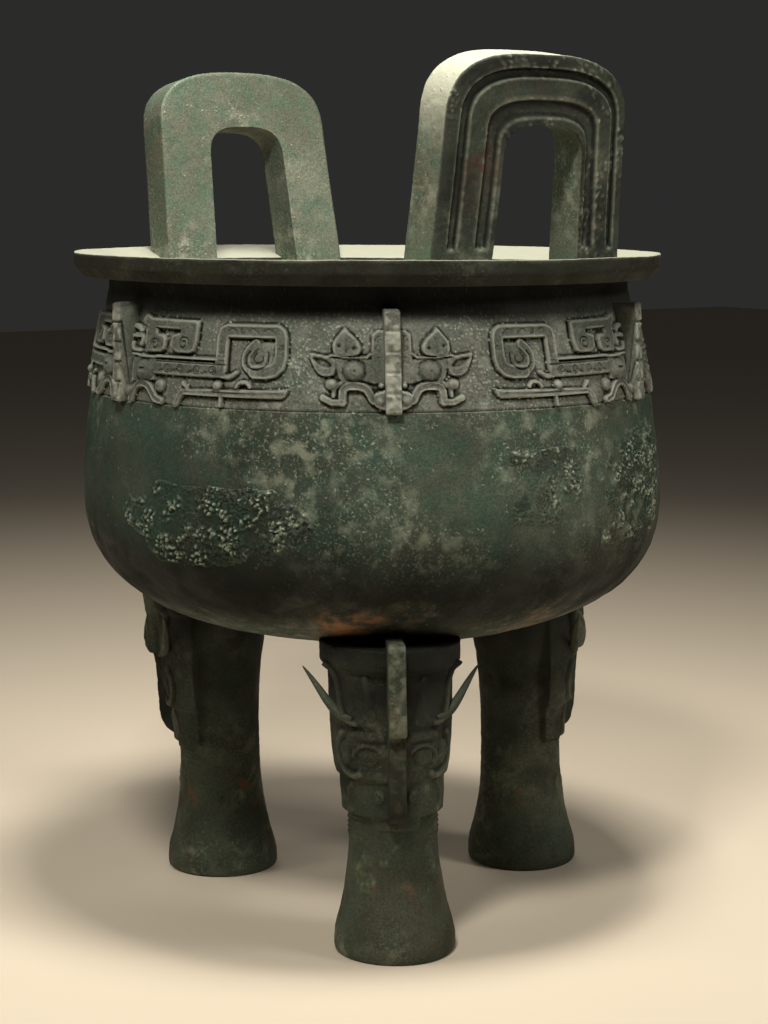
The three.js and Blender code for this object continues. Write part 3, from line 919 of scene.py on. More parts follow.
@dataclass(frozen=True)
class Bowl(CastPiece):
    """The swelling belly and its floor, below the carved band."""

    columns: int = 416
    top: float = 549.0
    outer_step: float = 3.9
    inner_step: float = 9.0
    # Painted shade on the lower belly: the height it starts below, and how far it takes to deepen.
    painted_shade_level: float = 466.0
    painted_shade_reach: float = 95.0
    # Below this height painted bounce light from the floor eases the painted shade.
    bounce_light_level: float = 354.0
    stains: tuple[tuple[float, float, float], ...] = ((-36.0, 24.0, 1.0), (6.0, 15.0, 0.55))
    stain_level: float = 326.0
    stain_reach: float = 60.0
    shade_heading: float = -92.0
    shade_reach: float = 62.0
    shade_top: float = 530.0

    def profile(self, inset: float, floor: float, step: float) -> Array:
        """Half of the bowl's outline, from its axis up to the band.

        Args:
            inset: how far the line lies inside the wall's outside.
            floor: height of its lowest point.
            step: distance between samples.

        Returns:
            (radius, height) rows.
        """
        c = self.casting
        turn = np.linspace(0.0, np.pi / 2, 400)
        out = (c.belly_radius - inset) * np.sin(turn) ** (2 / c.bottom_power)
        down = (c.belly_height - floor) * np.cos(turn) ** (2 / c.bottom_power)
        rise = np.linspace(c.belly_height, self.top, 60)[1:]
        wall = np.c_[c.upper_radius(rise) - inset, rise]
        return evenly(np.vstack([np.c_[out, c.belly_height - down], wall]), step)

    def skins(self) -> list[Skin]:
        """One closed shell: up the outside from the axis, then down the inside to it."""
        c = self.casting
        outer = self.profile(0.0, c.bottom, self.outer_step)
        inner = self.profile(c.wall, c.bottom + c.floor_wall, self.inner_step)[::-1]
        turn = np.linspace(0.0, 2 * np.pi, self.columns, endpoint=False)[None]
        line = np.vstack([outer, inner])
        base = c.around(line[:, :1], turn, line[:, 1:])
        slope = np.gradient(outer, axis=0)
        normal = np.c_[slope[:, 1], -slope[:, 0]] / np.linalg.norm(slope, axis=1, keepdims=True)
        normal = np.vstack([normal, np.zeros_like(inner)])
        fade = smooth((self.top - line[:, 1:]) / 6.0) * smooth(line[:, :1] / 30.0)
        push = fade * c.dents(base)
        points = c.around(line[:, :1] + push * normal[:, :1], turn, line[:, 1:] + push * normal[:, 1:])
        outside = (np.arange(len(line)) < len(outer))[:, None]
        return [Skin(points, Ends.POLES, self.stained(base, line[:, 1:], outside))]

    def stained(self, base: Array, height: Array, outside: Array) -> dict[str, Array]:
        """Painted shade on the lower belly, eased near the very bottom by painted bounce light from the
        floor, painted shade on one flank, and the brown stains under the bowl.

        Args:
            base: places on the shell before its dents.
            height: height of each row of places.
            outside: true on the rows of the outer skin.

        Returns:
            The marks of dark tone and painted shade, and of rust.
        """
        # Painted shade, deepening towards the bottom of the belly.
        low = smooth((self.painted_shade_level - height) / self.painted_shade_reach) * outside
        heading = np.degrees(np.arctan2(base[..., 1], base[..., 0]))
        reds = np.max([share * bump_at(heading, at, reach) for at, reach, share in self.stains], axis=0)
        reds = reds * bump_at(base[..., 2], self.stain_level, self.stain_reach)
        reds = reds * (0.55 + 0.45 * noise(base, 9.0, Pattern.BELLY_RUST_EDGE, 2))
        patchy = 1.2 + 0.9 * noise(base, 26.0, Pattern.BELLY_RUST, 2)
        rust = np.clip(reds * patchy, 0.0, 1.0) * outside
        rust = np.maximum(rust, 0.25 * low * smooth(noise(base, 60.0, Pattern.BELLY_TINT, 2)))
        # Painted bounce light from the floor near the very bottom.
        bottom = smooth((self.bounce_light_level - height) / 36.0)
        # Painted shade on one flank.
        flank_shade = 0.40 * bump_at(heading, self.shade_heading, self.shade_reach)
        flank_shade = flank_shade * smooth((self.shade_top - base[..., 2]) / 40.0) * outside
        dark = 0.95 * low * (1.0 - 0.72 * bottom) * (1.0 - 0.9 * rust)
        return {"dark_tone_and_shade": np.clip(dark + flank_shade * (1 - low), 0.0, 1.0), "rust": rust}


@dataclass(frozen=True)
class CrustPatch(CastPiece):
    """A scab of hard green corrosion on the belly, thinning out at its border."""

    heading: float = 0.0
    level: float = 450.0
    half_turn: float = 20.0
    half_height: float = 45.0
    thick: float = 3.4
    bare: float = 0.5
    grain: float = 3.9
    tilt: float = 0.0
    buried: float = 3.0
    back_depth: float = 5.0
    step: float = 1.14
    seed: int = 40

    def skins(self) -> list[Skin]:
        """A lumpy outside over a plain back that is sunk in the wall."""
        c = self.casting
        reach = np.radians(self.half_turn) * c.belly_radius
        turn = np.linspace(-1.0, 1.0, int(2 * reach / self.step))
        rise = np.linspace(-1.0, 1.0, int(2 * self.half_height / self.step))
        height = self.level + self.half_height * rise
        angle = np.radians(self.heading + self.half_turn * turn)[:, None]
        wall = c.wall_radius(height)
        base = c.around(wall[None], angle, height[None])
        slope = self.tilt * turn[:, None]
        border = np.clip(1.0 - turn[:, None] ** 2 - (rise[None] - slope) ** 2, 0.0, 1.0)
        spread = 1.3 * noise(base, 34.0, self.seed, 3) + 0.5 * noise(base, 8.0, self.seed + 6)
        inside = smooth((1.0 - np.abs(turn[:, None])) / 0.2)
        inside = inside * smooth((1.0 - np.abs(rise[None])) / 0.2)
        spread = spread + 1.6 * border - self.bare - 2.6 * (1.0 - inside)
        body = smooth(spread / 0.8)
        warped = base + 1.9 * noise(base, 3.6, self.seed + 5)[..., None]
        large = np.clip(grains(warped, self.grain, self.seed + 1) * 2.0 - 0.6, 0.0, 1.0)
        small = np.clip(grains(warped, 0.62 * self.grain, self.seed + 2) * 2.0 - 0.55, 0.0, 1.0)
        thin = smooth(0.55 + 1.7 * noise(base, 12.0, self.seed + 3, 2))
        lumps = np.maximum(large * thin, 0.6 * small * smooth(0.9 + noise(base, 22.0, self.seed + 4)))
        proud = -0.35 + body * (0.3 + self.thick * lumps) - 1.4 * (1.0 - smooth(spread / 0.25 + 0.3))
        proud = proud + c.dents(base)
        margin = (np.abs(turn)[:, None] > 0.98) | (np.abs(rise)[None] > 0.97)
        proud = np.where(margin, -self.buried, proud)
        outside = c.around(wall[None] + proud, angle, height[None])
        back = c.around(wall[None, ::-8] - self.back_depth, angle, height[None, ::-8])
        marks = relief_marks(proud, 3, wrap=False)
        marks["crust_and_highlight"] = body * smooth((lumps - 0.3) / 0.7) * (0.35 + 0.5 * thin)
        marks["worn"] = np.zeros_like(lumps)
        # Darker between the lumps, with painted shade deepening lower down as on the belly.
        low = smooth((430.0 - height[None]) / 60.0)
        marks["dark_tone_and_shade"] = np.clip(body * (0.55 + 0.5 * low - 1.2 * lumps), 0.0, 1.0)
        pad = ((0, 0), (0, back.shape[1]))
        marks = {name: np.pad(value, pad) for name, value in marks.items()}
        return [Skin(np.concatenate([outside, back], axis=1), Ends.CAPS, marks)]


@dataclass(frozen=True)
class Arch:
    """A stilted arch: sides that draw in to a springing, then a rounded head."""

    half_base: float
    half_spring: float
    spring: float
    height: float
    power: float
    foot: float

    def at(self, turn: Array, along: Array) -> Array:
        """Points of the arch.

        Args:
            turn: angle round the head, 0 to pi; 0 and pi hold on the straight sides.
            along: 1 at the springing and 0 at the foot.

        Returns:
            (across, up) rows.
        """
        cos, sin = np.cos(turn), np.clip(np.sin(turn), 0.0, 1.0)
        across = self.half_spring * np.sign(cos) * np.abs(cos) ** (2 / self.power)
        up = self.spring + (self.height - self.spring) * sin ** (2 / self.power)
        side = np.sign(cos) * (self.half_base + (self.half_spring - self.half_base) * along)
        straight = along < 1.0
        across = np.where(straight, side, across)
        up = np.where(straight, self.foot + (self.spring - self.foot) * along, up)
        return np.stack([across, up], axis=-1)


@dataclass(frozen=True)
class Handle(CastPiece):
    """An upright arched handle with channels on its outer face, and the shelf under it."""

    heading: float = 0.0
    face: float = 270.0
    thick: float = 44.0
    tilt: float = 8.06
    outer: Arch = Arch(114.0, 107.0, 121.0, 191.0, 2.9, -24.0)
    hole: Arch = Arch(53.0, 48.0, 88.0, 129.0, 3.0, -24.0)
    channels: tuple[float, ...] = (13.0, 38.0)
    channel_width: float = 9.0
    channel_depth: float = 4.0
    channel_foot: float = 7.0
    # Pale wear and painted highlight on the arch's top edge: its share, the height it starts from and its
    # rise.
    top_wear_and_highlight: float = 0.1
    top_wear_and_highlight_level: float = 70.0
    top_wear_and_highlight_reach: float = 105.0
    drift: float = 0.0
    drift_power: float = 0.6
    step: float = 2.3

    def stations(self) -> tuple[Array, Array]:
        """Turn and straight-side fractions at even distances along the outer arch."""
        along = np.linspace(0.0, 1.0, 400)
        turn = np.linspace(0.0, np.pi, 2400)
        turns = np.r_[np.zeros(399), turn, np.full(399, np.pi)]
        sides = np.r_[along[:-1], np.ones(2400), along[-2::-1]]
        path = self.outer.at(turns, sides)
        run = np.r_[0.0, np.cumsum(np.linalg.norm(np.diff(path, axis=0), axis=1))]
        at = np.linspace(0.0, run[-1], int(run[-1] / self.step))
        return np.interp(at, run, turns), np.interp(at, run, sides)

    def line(self, inset: Array, turn: Array, side: Array) -> Array:
        """The handle's outline moved inwards, blending into the hole's outline near it.

        Args:
            inset: how far in each line lies.
            turn: angle round the arch's head.
            side: fraction up its straight sides.

        Returns:
            (across, up) places by station and inset.
        """
        rows = []
        full = self.outer.half_base - self.hole.half_base
        for value in inset:
            moved = Arch(self.outer.half_base - value, self.outer.half_spring - value,
                         self.outer.spring, self.outer.height - value, self.outer.power,
                         self.outer.foot)
            blend = float(smooth(np.array((value - 30.0) / (full - 30.0))))
            row = (1 - blend) * moved.at(turn, side) + blend * self.hole.at(turn, side)
            row[:, 0] += self.drift * (value / full) ** self.drift_power
            rows.append(row)
        return np.stack(rows, axis=1)

    def skins(self) -> list[Skin]:
        """The arch, as its section swept from foot to foot, and the shelf."""
        turn, side = self.stations()
        full = self.outer.half_base - self.hole.half_base
        section = rounded_loop([(0, 0), (full, 0), (full, -self.thick), (0, -self.thick)],
                               [2.6, 2.6, 2.6, 2.6], 1.25)
        section = self.thinned(section)
        flat = self.line(section[:, 0], turn, side)
        depth = np.broadcast_to(section[:, 1], flat.shape[:2]).copy()
        front = smooth((section[:, 1] + 3.0) / 2.6)[None]
        level = smooth((flat[..., 1] - self.channel_foot) / 4.0)
        sunk = np.zeros_like(depth)
        for inset in self.channels:
            off = np.abs(section[:, 0] - inset - self.channel_width / 2)[None]
            cut = smooth((self.channel_width / 2 + 0.7 - off) / 1.5)
            sunk = np.maximum(sunk, self.channel_depth * cut)
        sunk = sunk * front * level
        base = np.stack([depth, flat[..., 0], flat[..., 1]], axis=-1)
        base = base + np.array([500.0 + 3 * self.heading, 0.0, 0.0])
        rough = 0.28 * noise(base, 5.0, Pattern.HANDLE_ROUGH, 2) * (0.5 + 0.9 * front)
        swell = 0.7 * noise(base, 60.0, Pattern.HANDLE_SWELL)
        scab = np.clip(grains(base, 5.5, Pattern.HANDLE_SCAB) - 0.45, 0.0, 1.0) * 2.4
        scab = scab * smooth(noise(base, 38.0, Pattern.HANDLE_CLUSTERS, 2) * 2.2 + 0.35) * front
        foot = bump_at(flat[..., 1], 9.0, 7.0) * (sunk > 0.3)
        scab = scab + 1.3 * foot * grains(base, 3.4, Pattern.HANDLE_FOOT)
        outward = np.sign(section[:, 1] + self.thick / 2)[None]
        depth = depth - sunk + outward * (rough + swell) + scab
        outline = outline_normals(section)[None, :, 0]
        shift = flat - self.line(np.clip(section[:, 0] + 1.0, 0, full), turn, side)
        sides = (np.abs(outline) > 0.5)[..., None]
        flat = flat - shift * (outline * (rough + 0.8 * swell))[..., None] * sides
        lean = np.radians(self.tilt)
        x = self.face + np.sin(lean) * flat[..., 1] + np.cos(lean) * depth
        z = self.casting.rim_top + np.cos(lean) * flat[..., 1] - np.sin(lean) * depth
        points = np.stack([x, flat[..., 0], z], axis=-1)
        marks = relief_marks(rough - sunk + scab, 2)
        # Pale wear and a painted highlight on the arch's top edge, growing with height.
        bare = smooth((flat[..., 1] - self.top_wear_and_highlight_level) / self.top_wear_and_highlight_reach)
        bare = bare * (section[:, 0] < 3.0)[None] * (1.0 - front)
        marks["crust_and_highlight"] = np.clip(0.42 * scab + self.top_wear_and_highlight * bare, 0.0, 1.0)
        # Painted shade over the outer face: less on crust and wear, more with the painted shade in hollows.
        dark = 0.78 - 0.55 * marks["crust_and_highlight"] - 0.4 * marks["worn"] + 0.5 * marks["hollow"]
        marks["dark_tone_and_shade"] = front * np.clip(dark + 0.25 * noise(base, 30.0, Pattern.HANDLE_SHADE, 2), 0.0, 0.95)
        red = bump_at(flat[..., 0], -62.0, 40.0) * bump_at(flat[..., 1], 85.0, 60.0)
        marks["rust"] = 0.8 * red * front * smooth(noise(base, 7.0, Pattern.HANDLE_RUST, 3) + 0.6)
        # Painted shadow in the channels round the top of the arch.
        channel_shadow = smooth((flat[..., 1] - 110.0) / 40.0) * smooth(sunk / 2.0)
        marks["dark_tone_and_shade"] = np.maximum(marks["dark_tone_and_shade"], 0.93 * channel_shadow)
        arch = Skin(turned_about(points, self.heading), Ends.CAPS, marks)
        return [arch, self.shelf()]

    def thinned(self, section: Array) -> Array:
        """Keep the section fine on its outer face and edges, and coarser on its back."""
        back = section[:, 1] < -self.thick + 0.5
        keep = ~back | (np.arange(len(section)) % 2 == 0)
        return section[keep]

    def shelf(self) -> Skin:
        """The sloping bracket inside the mouth that carries the overhang."""
        c = self.casting
        inner, top = self.face - self.thick, c.rim_top - 20.0
        loop = rounded_loop([(inner, top), (inner, top - 12.0), (c.neck_radius - 5.0, top - 34.0),
                             (c.neck_radius - 5.0, top)], [2.0, 3.0, 2.0, 1.0], 5.0)
        points = slab(loop, 150.0, 5.0, 3.0)
        limit = np.sqrt((c.neck_radius - 4.0) ** 2 - points[..., 1] ** 2)
        points[..., 0] = np.minimum(points[..., 0], limit)
        return Skin(turned_about(points, self.heading), Ends.CAPS)


@dataclass(frozen=True)
class NeckFlanges(CastPiece):
    """The six notched plates that stand out from the carved band."""

    headings: tuple[float, ...] = (90.0, 150.0, 210.0, 270.0, 330.0, 30.0)
    width: float = 15.0
    top: float = 646.0
    foot: float = 549.0
    reach: float = 300.0
    flare: float = 4.0
    notches: int = 4
    notch_depth: float = 2.6
    worn_heading: float = 330.0
    worn_notch: float = 0.3
    worn_decay: float = 2.4
    # Height above which the rim's shadow is painted on the plates.
    painted_shade_level: float = 634.0
    sink: float = 6.0

    def outline(self, depth: float) -> Array:
        """One plate in the X-Z plane: wall side, foot, outer edge with its notches, and top.

        Args:
            depth: how deep the notches are.

        Returns:
            (x, z) rows.
        """
        rise = np.arange(self.foot + 2.0, self.top - 2.0, 0.9)
        part = (self.top - rise) / (self.top - self.foot)
        out = self.reach + self.flare * part**2
        for k in range(self.notches):
            middle = self.top - (self.top - self.foot) * (k + 1) / (self.notches + 1)
            out = out - depth * smooth(1.5 - np.abs(rise - middle) / 1.3)
        edge = np.c_[out, rise]
        buried = np.linspace(self.top, self.foot, 24)
        wall = np.c_[self.casting.upper_radius(buried) - self.sink, buried]
        bottom = np.c_[np.linspace(wall[-1, 0], edge[0, 0] - 2.0, 20)[1:], np.full(19, self.foot)]
        head = np.c_[np.linspace(edge[-1, 0] - 2.0, wall[0, 0], 18)[:-1], np.full(17, self.top)]
        return np.vstack([wall, bottom, edge, head])

    def skins(self) -> list[Skin]:
        """Six plates; the one at the front leg is the most crumbled."""
        plates = []
        for number, heading in enumerate(self.headings):
            front = heading == self.worn_heading
            decay = self.worn_decay if front else 1.0
            seat = np.array([0.0, 200.0 * number, 0.0])

            def chips(places: Array, seat: Array = seat, decay: float = decay) -> Array:
                """Loss from the plate's edge: pits and broken corners."""
                at = places + seat
                loss = 0.35 * noise(at, 5.0, Pattern.PLATE_ROUGH, 2)
                loss += decay * 1.5 * np.clip(noise(at, 9.0, Pattern.PLATE_PITS) - 0.35, 0.0, 1.0)
                corner = smooth((places[..., 2] - self.top + 14.0) / 16.0)
                broken = np.clip(noise(at, 6.0, Pattern.PLATE_CORNERS) + 0.2, 0.0, 1.0)
                loss += decay * 1.2 * corner * broken
                return loss * smooth((places[..., 0] - self.reach + 12.0) / 8.0)

            depth = self.notch_depth * (self.worn_notch if front else 1.0)
            points = slab(self.outline(depth), self.width, 1.3, 1.6, chips)
            edge = smooth((points[..., 0] - self.reach + 4.0) / 4.0)
            worn = np.clip(0.5 + noise(points + seat, 6.0, Pattern.PLATE_WEAR, 2), 0.0, 1.0)
            # Painted shadow of the rim on the plates' upper parts, left off the front plate.
            shade = 0.6 * smooth((points[..., 2] - self.painted_shade_level) / 10.0)
            marks = {"worn": edge * worn, "dark_tone_and_shade": shade * (not front)}
            plates.append(Skin(turned_about(points, heading), Ends.CAPS, marks))
        return plates


@dataclass(frozen=True)
class Leg(CastPiece):
    """A column leg whose head carries a beast mask, with its nose, flange and horns."""

    heading: float = 330.0
    circle: float = 197.0
    foot_knots: tuple[Point, ...] = (
        (0.0, 58.0), (2.0, 60.2), (6.0, 61.0), (12.0, 60.9), (22.0, 60.0), (45.0, 54.0), (80.0, 47.5),
        (118.0, 44.5), (146.0, 44.6), (184.0, 45.0), (228.0, 48.0), (280.0, 56.0), (318.0, 58.0))
    mask_knots: tuple[Point, ...] = (
        (146.5, 50.6), (165.0, 51.6), (183.0, 52.2), (185.0, 55.4), (205.0, 58.6), (226.0, 60.4),
        (240.0, 61.0), (262.0, 61.4), (282.0, 61.6), (290.0, 62.6), (298.5, 69.6), (318.0, 70.0))
    # Painted shade under the bowl, by height: darker towards the leg's top.
    shade_knots: tuple[Point, ...] = (
        (0.0, 0.04), (60.0, 0.14), (110.0, 0.32), (170.0, 0.58), (240.0, 0.72), (285.0, 0.9),
        (318.0, 0.96))
    top: float = 318.0
    boldness: float = 1.3
    sink: float = 4.0
    mask_turn: float = 95.0
    fine_turn: float = 104.0
    mask_foot: float = 146.0
    sheet_radius: float = 57.0
    fine_columns: int = 156
    plain_columns: int = 44
    step: float = 1.7
    cap_rows: int = 12
    seed: int = 70

    def carve(self, sheet: ReliefSheet) -> None:
        """Draw half of the mask: horn, brow, eye, cheek, nostril and mouth, all much worn."""
        plate = curve_path([(17, 243), (30, 240.5), (45, 240.5), (54, 246), (59, 262), (62, 282), (60, 292),
                            (50, 292), (30, 290), (21, 284), (20, 262)], closed=True)
        sheet.patch(plate, 1.5, edge=4.0)
        inner = curve_path([(27, 288), (25.5, 268), (27, 254), (33, 246), (43, 242.5)])
        sheet.band(inner, 6.5, 2.5, edge=3.0)
        blade = curve_path([(38, 243), (47, 245), (53, 256), (56, 274), (61, 290), (66, 297)])
        sheet.band(blade, 5.5, 4.4, edge=2.6)
        sheet.band([(14, 230), (40, 230.5)], 8.0, 1.5, edge=4.0)
        sheet.cut(curve_path([(16, 238), (28, 236.6), (42, 238.6)]), 2.8, 4.0)
        sheet.dome((27, 209), (11.0, 8.5), 1.9)
        lid = curve_path([(15, 216), (21, 220.5), (30, 221), (40, 215), (44, 207)])
        sheet.band(lid, 3.4, 1.5, edge=3.0)
        cheek = curve_path([(56, 231), (62, 218), (61, 203), (54, 192), (45, 188.5), (37, 191)])
        sheet.band(cheek, 6.5, 2.6, edge=3.4)
        sheet.dome((53, 211), (7.0, 13.0), 2.2)
        sheet.hollow(curve_path([(44, 207), (48, 199), (46, 193), (40, 196)], closed=True), 1.6, edge=3.0)
        sheet.dome((19, 169), (7.0, 8.0), 2.2)
        sheet.cut(spiral((19, 168), 4.4, 1.1, 0.1), 1.8, 1.1)
        mouth = curve_path([(46, 171), (38, 160), (28, 152.5), (16, 149), (0, 148.4)])
        sheet.cut(mouth, 3.2, 3.2)
        sheet.hollow(curve_path([(38, 163), (46, 166), (48, 174), (41, 178), (36, 171)], closed=True),
                     3.4, edge=2.6)
        sheet.band(curve_path([(52, 180), (58, 172), (60, 160), (54, 152)]), 5.0, 1.4, edge=3.0)
        sheet.patch([(0, 133), (22, 133), (30, 138), (32, 146), (0, 146)], 1.3, edge=3.0)
        sheet.cut([(0, 130.8), (19, 131.2)], 2.8, 3.0)
        sheet.cut([(-6, 112.5), (7, 113)], 1.8, 1.4)
        for level in (142.0, 137.0, 132.0, 127.0, 122.0):
            sheet.band([(46, level), (180, level)], 1.8, 0.7, edge=1.8)

    def radius(self, turn: Array, height: Array) -> Array:
        """The leg's radius before relief: a plain column, thickened over its outer half by the mask.

        Args:
            turn: direction from the leg's axis, in radians, 0 away from the vessel's middle.
            height: height above the floor.

        Returns:
            The radius.
        """
        plain = through(self.foot_knots, height)
        mask = np.maximum(through(self.mask_knots, height), plain)
        reach = np.degrees(np.abs(turn))
        above = smooth((height - self.mask_foot + 0.6) / 1.6)
        over = smooth((self.mask_turn + 1.6 - reach) / 3.2) * above
        return plain + (mask - plain) * over

    def column(self) -> Skin:
        """The closed leg, from its sole to a cap just inside the bowl's wall."""
        fine = np.radians(np.linspace(-self.fine_turn, self.fine_turn, self.fine_columns))
        behind = np.linspace(self.fine_turn, 360.0 - self.fine_turn, self.plain_columns + 2)
        plain = np.radians(behind[1:-1])
        turn = np.r_[fine, plain]
        turn = np.where(turn > np.pi, turn - 2 * np.pi, turn)[None]
        low = np.r_[0.0, 0.8, 2.0, 3.6, np.arange(6.0, 104.0, 3.4)]
        rows = np.r_[low, np.arange(105.0, self.top - 2.0, self.step), self.top - 1.8, self.top - 0.9,
                     self.top - 0.3][:, None]
        height = np.broadcast_to(rows, (len(rows), turn.shape[1])).copy()
        across = np.abs(turn) * self.sheet_radius
        sheet = ReliefSheet(np.broadcast_to(across, height.shape), height)
        self.carve(sheet)
        reach = np.degrees(np.abs(turn))
        relief = self.boldness * sheet.height * smooth((self.mask_turn - reach) / 4.0)
        heading = np.array([300.0 * self.seed, 0.0, 0.0])
        base = self.casting.around(self.radius(turn, height), turn, height) + heading
        rough = 0.30 * noise(base, 6.0, Pattern.LEG_ROUGH, 2)
        rough = rough + 0.75 * noise(base, 40.0, Pattern.LEG_SWELL) - 0.5 * self.pits(base)
        scab = self.scabs(base, height)
        fade = smooth(height / 3.0)
        out = self.radius(turn, height) + relief + fade * (rough + scab)
        out = out - 1.6 * smooth((height - self.top + 2.2) / 2.2) ** 2
        points = self.casting.around(out, turn, height)
        points[..., 2] = np.minimum(points[..., 2], self.ceiling(points))
        climb = []
        for part in np.linspace(0.97, 0.0, self.cap_rows):
            ring = self.casting.around(out[-1:] * max(part, 1e-3), turn, np.full_like(turn, self.top))
            ring[..., 2] = np.minimum(ring[..., 2], self.ceiling(ring))
            climb.append(ring)
        under = np.zeros((1,) + points.shape[1:])
        whole = np.concatenate([under, 0.5 * points[:1], points, np.concatenate(climb)], axis=0)
        whole[1, :, 2] = 0.0
        marks = relief_marks(relief + rough + scab, 3)
        marks["crust_and_highlight"] = np.clip(0.5 * scab, 0.0, 1.0)
        marks["rust"] = self.stains(base, height)
        # Painted shade under the bowl, deepening towards the top of the leg.
        dark = through(self.shade_knots, height)
        marks["dark_tone_and_shade"] = np.clip(dark + 0.15 * noise(base, 30.0, Pattern.LEG_SHADE, 2), 0.0, 0.97)
        pad = ((2, len(whole) - 2 - len(points)), (0, 0))
        return Skin(whole, Ends.POLES, {k: np.pad(v, pad, mode="edge") for k, v in marks.items()})

    def ceiling(self, points: Array) -> Array:
        """Height at which the bowl's wall takes the leg in, a little above the wall's outside."""
        away = np.hypot(self.circle + points[..., 0], points[..., 1])
        return self.casting.under_height(away) + self.sink

    def pits(self, base: Array) -> Array:
        """Small gas holes of the casting."""
        return np.clip(grains(base, 12.0, Pattern.LEG_PITS) - 0.72, 0.0, 1.0) * 6.0

    def scabs(self, base: Array, height: Array) -> Array:
        """Rough corrosion, thickest on the shank below the mask."""
        where = smooth(noise(base, 26.0, Pattern.LEG_CLUSTERS, 2) * 2.0 - 0.1) * bump_at(height, 92.0, 60.0)
        return 1.7 * where * grains(base, 4.6, Pattern.LEG_SCAB)

    def stains(self, base: Array, height: Array) -> Array:
        """Brown-red stains, in a broad band on the shank and thinly above it."""
        patchy = smooth(noise(base, 22.0, Pattern.LEG_STAINS, 2) * 1.6 + 0.1)
        fine = smooth(0.6 + 0.9 * noise(base, 7.0, Pattern.LEG_STAIN_EDGE, 2))
        return patchy * fine * (0.12 + 0.75 * bump_at(height, 92.0, 34.0))

    def plates(self) -> list[Skin]:
        """The mask's nose and the flange above it."""
        nose = [(30, 141), (47, 141), (66, 151), (72, 160), (74, 170), (75, 196), (78, 228), (80, 238),
                (30, 238)]
        nose_line = rounded_loop(nose, [1, 2, 4, 3, 3, 4, 4, 2, 1], 1.6)
        inner, outer = 36.0, 90.0
        top = np.linspace(outer - 2.0, inner, 24)
        crest = np.minimum(327.5, self.casting.under_height(self.circle + top) + self.sink)
        front = np.arange(238.0, 326.0, 1.5)
        swell = outer + 1.6 * np.sin((front - 236.0) / 9.5) - 3.0 * smooth((246.0 - front) / 12.0)
        flange_line = np.vstack([
            np.c_[np.linspace(inner, outer - 6.0, 24), np.full(24, 235.5)],
            np.c_[swell, front], np.c_[top, crest],
            np.c_[np.full(30, inner), np.linspace(crest[-1], 235.5, 32)[1:-1]]])
        seat = np.array([0.0, 90.0 * self.seed, 0.0])

        def worn_front(places: Array) -> Array:
            """Loss from the front edges."""
            at = places + seat
            loss = 0.5 * noise(at, 5.0, Pattern.NOSE_ROUGH, 2)
            loss += 0.9 * noise(at, 16.0, Pattern.NOSE_SWELL)
            loss += 2.6 * np.clip(noise(at, 8.0, Pattern.NOSE_PITS) - 0.35, 0.0, 1.0)
            return loss * smooth((places[..., 0] - 62.0) / 10.0)

        skins = []
        for line, width in ((nose_line, 16.5), (flange_line, 17.0)):
            points = slab(line, width, 1.6, 2.0, worn_front)
            edge = smooth((points[..., 0] - 68.0) / 10.0)
            worn = np.clip(0.35 + noise(points + seat, 6.0, Pattern.NOSE_WEAR, 2), 0.0, 1.0)
            # Painted shade as on the column around them, less on the front edges from the nose's top
            # upwards.
            marks = {"worn": edge * worn,
                     "dark_tone_and_shade": 0.74 - 0.44 * edge * smooth((points[..., 2] - 232.0) / 8.0),
                     "rust": 0.3 * smooth(noise(points + seat, 14.0, Pattern.NOSE_RUST, 2))}
            skins.append(Skin(points, Ends.CAPS, marks))
        return skins

    def horn(self, side: int) -> Skin:
        """A curved blade that leaves the leg's side and ends in a free upright tip.

        Args:
            side: 1 or -1, the side of the mask it stands on.

        Returns:
            Rounded-square sections along a smooth path, shrinking to its tip.
        """
        knots = [(46, 40, 246), (40, 48.5, 247.5), (34, 56, 252), (28, 64, 261), (23, 72, 272.5),
                 (18.5, 80, 284), (15, 87.5, 294)]
        path = np.array(knots, float)
        t = np.linspace(0.0, 1.0, len(knots))
        at = np.linspace(0.0, 1.0, 56)
        middle = np.stack([through(list(zip(t, path[:, k])), at) for k in range(3)], axis=-1)
        along = np.gradient(middle, axis=0)
        along /= np.linalg.norm(along, axis=1, keepdims=True)
        outward = middle * np.array([1.0, 1.0, 0.0])
        outward -= np.sum(outward * along, axis=1, keepdims=True) * along
        outward /= np.linalg.norm(outward, axis=1, keepdims=True)
        across = np.cross(along, outward)
        taper = np.sqrt(np.clip(np.sin(np.pi * np.clip(at * 0.92 + 0.08, 0, 1) ** 0.8), 0.0, 1.0))
        wide = 4.6 * (0.35 + 0.65 * (1 - at) ** 0.7) * np.maximum(taper, 0.02)
        deep = 5.6 * (0.5 + 0.5 * (1 - at) ** 0.8) * np.maximum(taper, 0.02)
        turn = np.linspace(0.0, 2 * np.pi, 28, endpoint=False)
        cos = np.sign(np.cos(turn)) * np.abs(np.cos(turn)) ** 0.75
        sin = np.sign(np.sin(turn)) * np.abs(np.sin(turn)) ** 0.75
        points = (middle[:, None] + (wide[:, None] * cos)[..., None] * across[:, None]
                  + (deep[:, None] * sin)[..., None] * outward[:, None])
        points = points * np.array([1.0, float(side), 1.0])
        edge = np.broadcast_to(np.abs(cos) ** 3, points.shape[:2])
        return Skin(points, Ends.POLES, {"worn": 0.5 * edge, "dark_tone_and_shade": np.full(edge.shape, 0.45)})

    def skins(self) -> list[Skin]:
        """The column, its nose and flange, and its two horns, moved to the leg's place."""
        parts = [self.column(), *self.plates(), self.horn(1), self.horn(-1)]
        return [Skin(turned_about(p.points, self.heading, self.circle), p.ends, p.marks) for p in parts]


# ---------------------------------------------------------------- finishes

Colour = tuple[float, float, float]


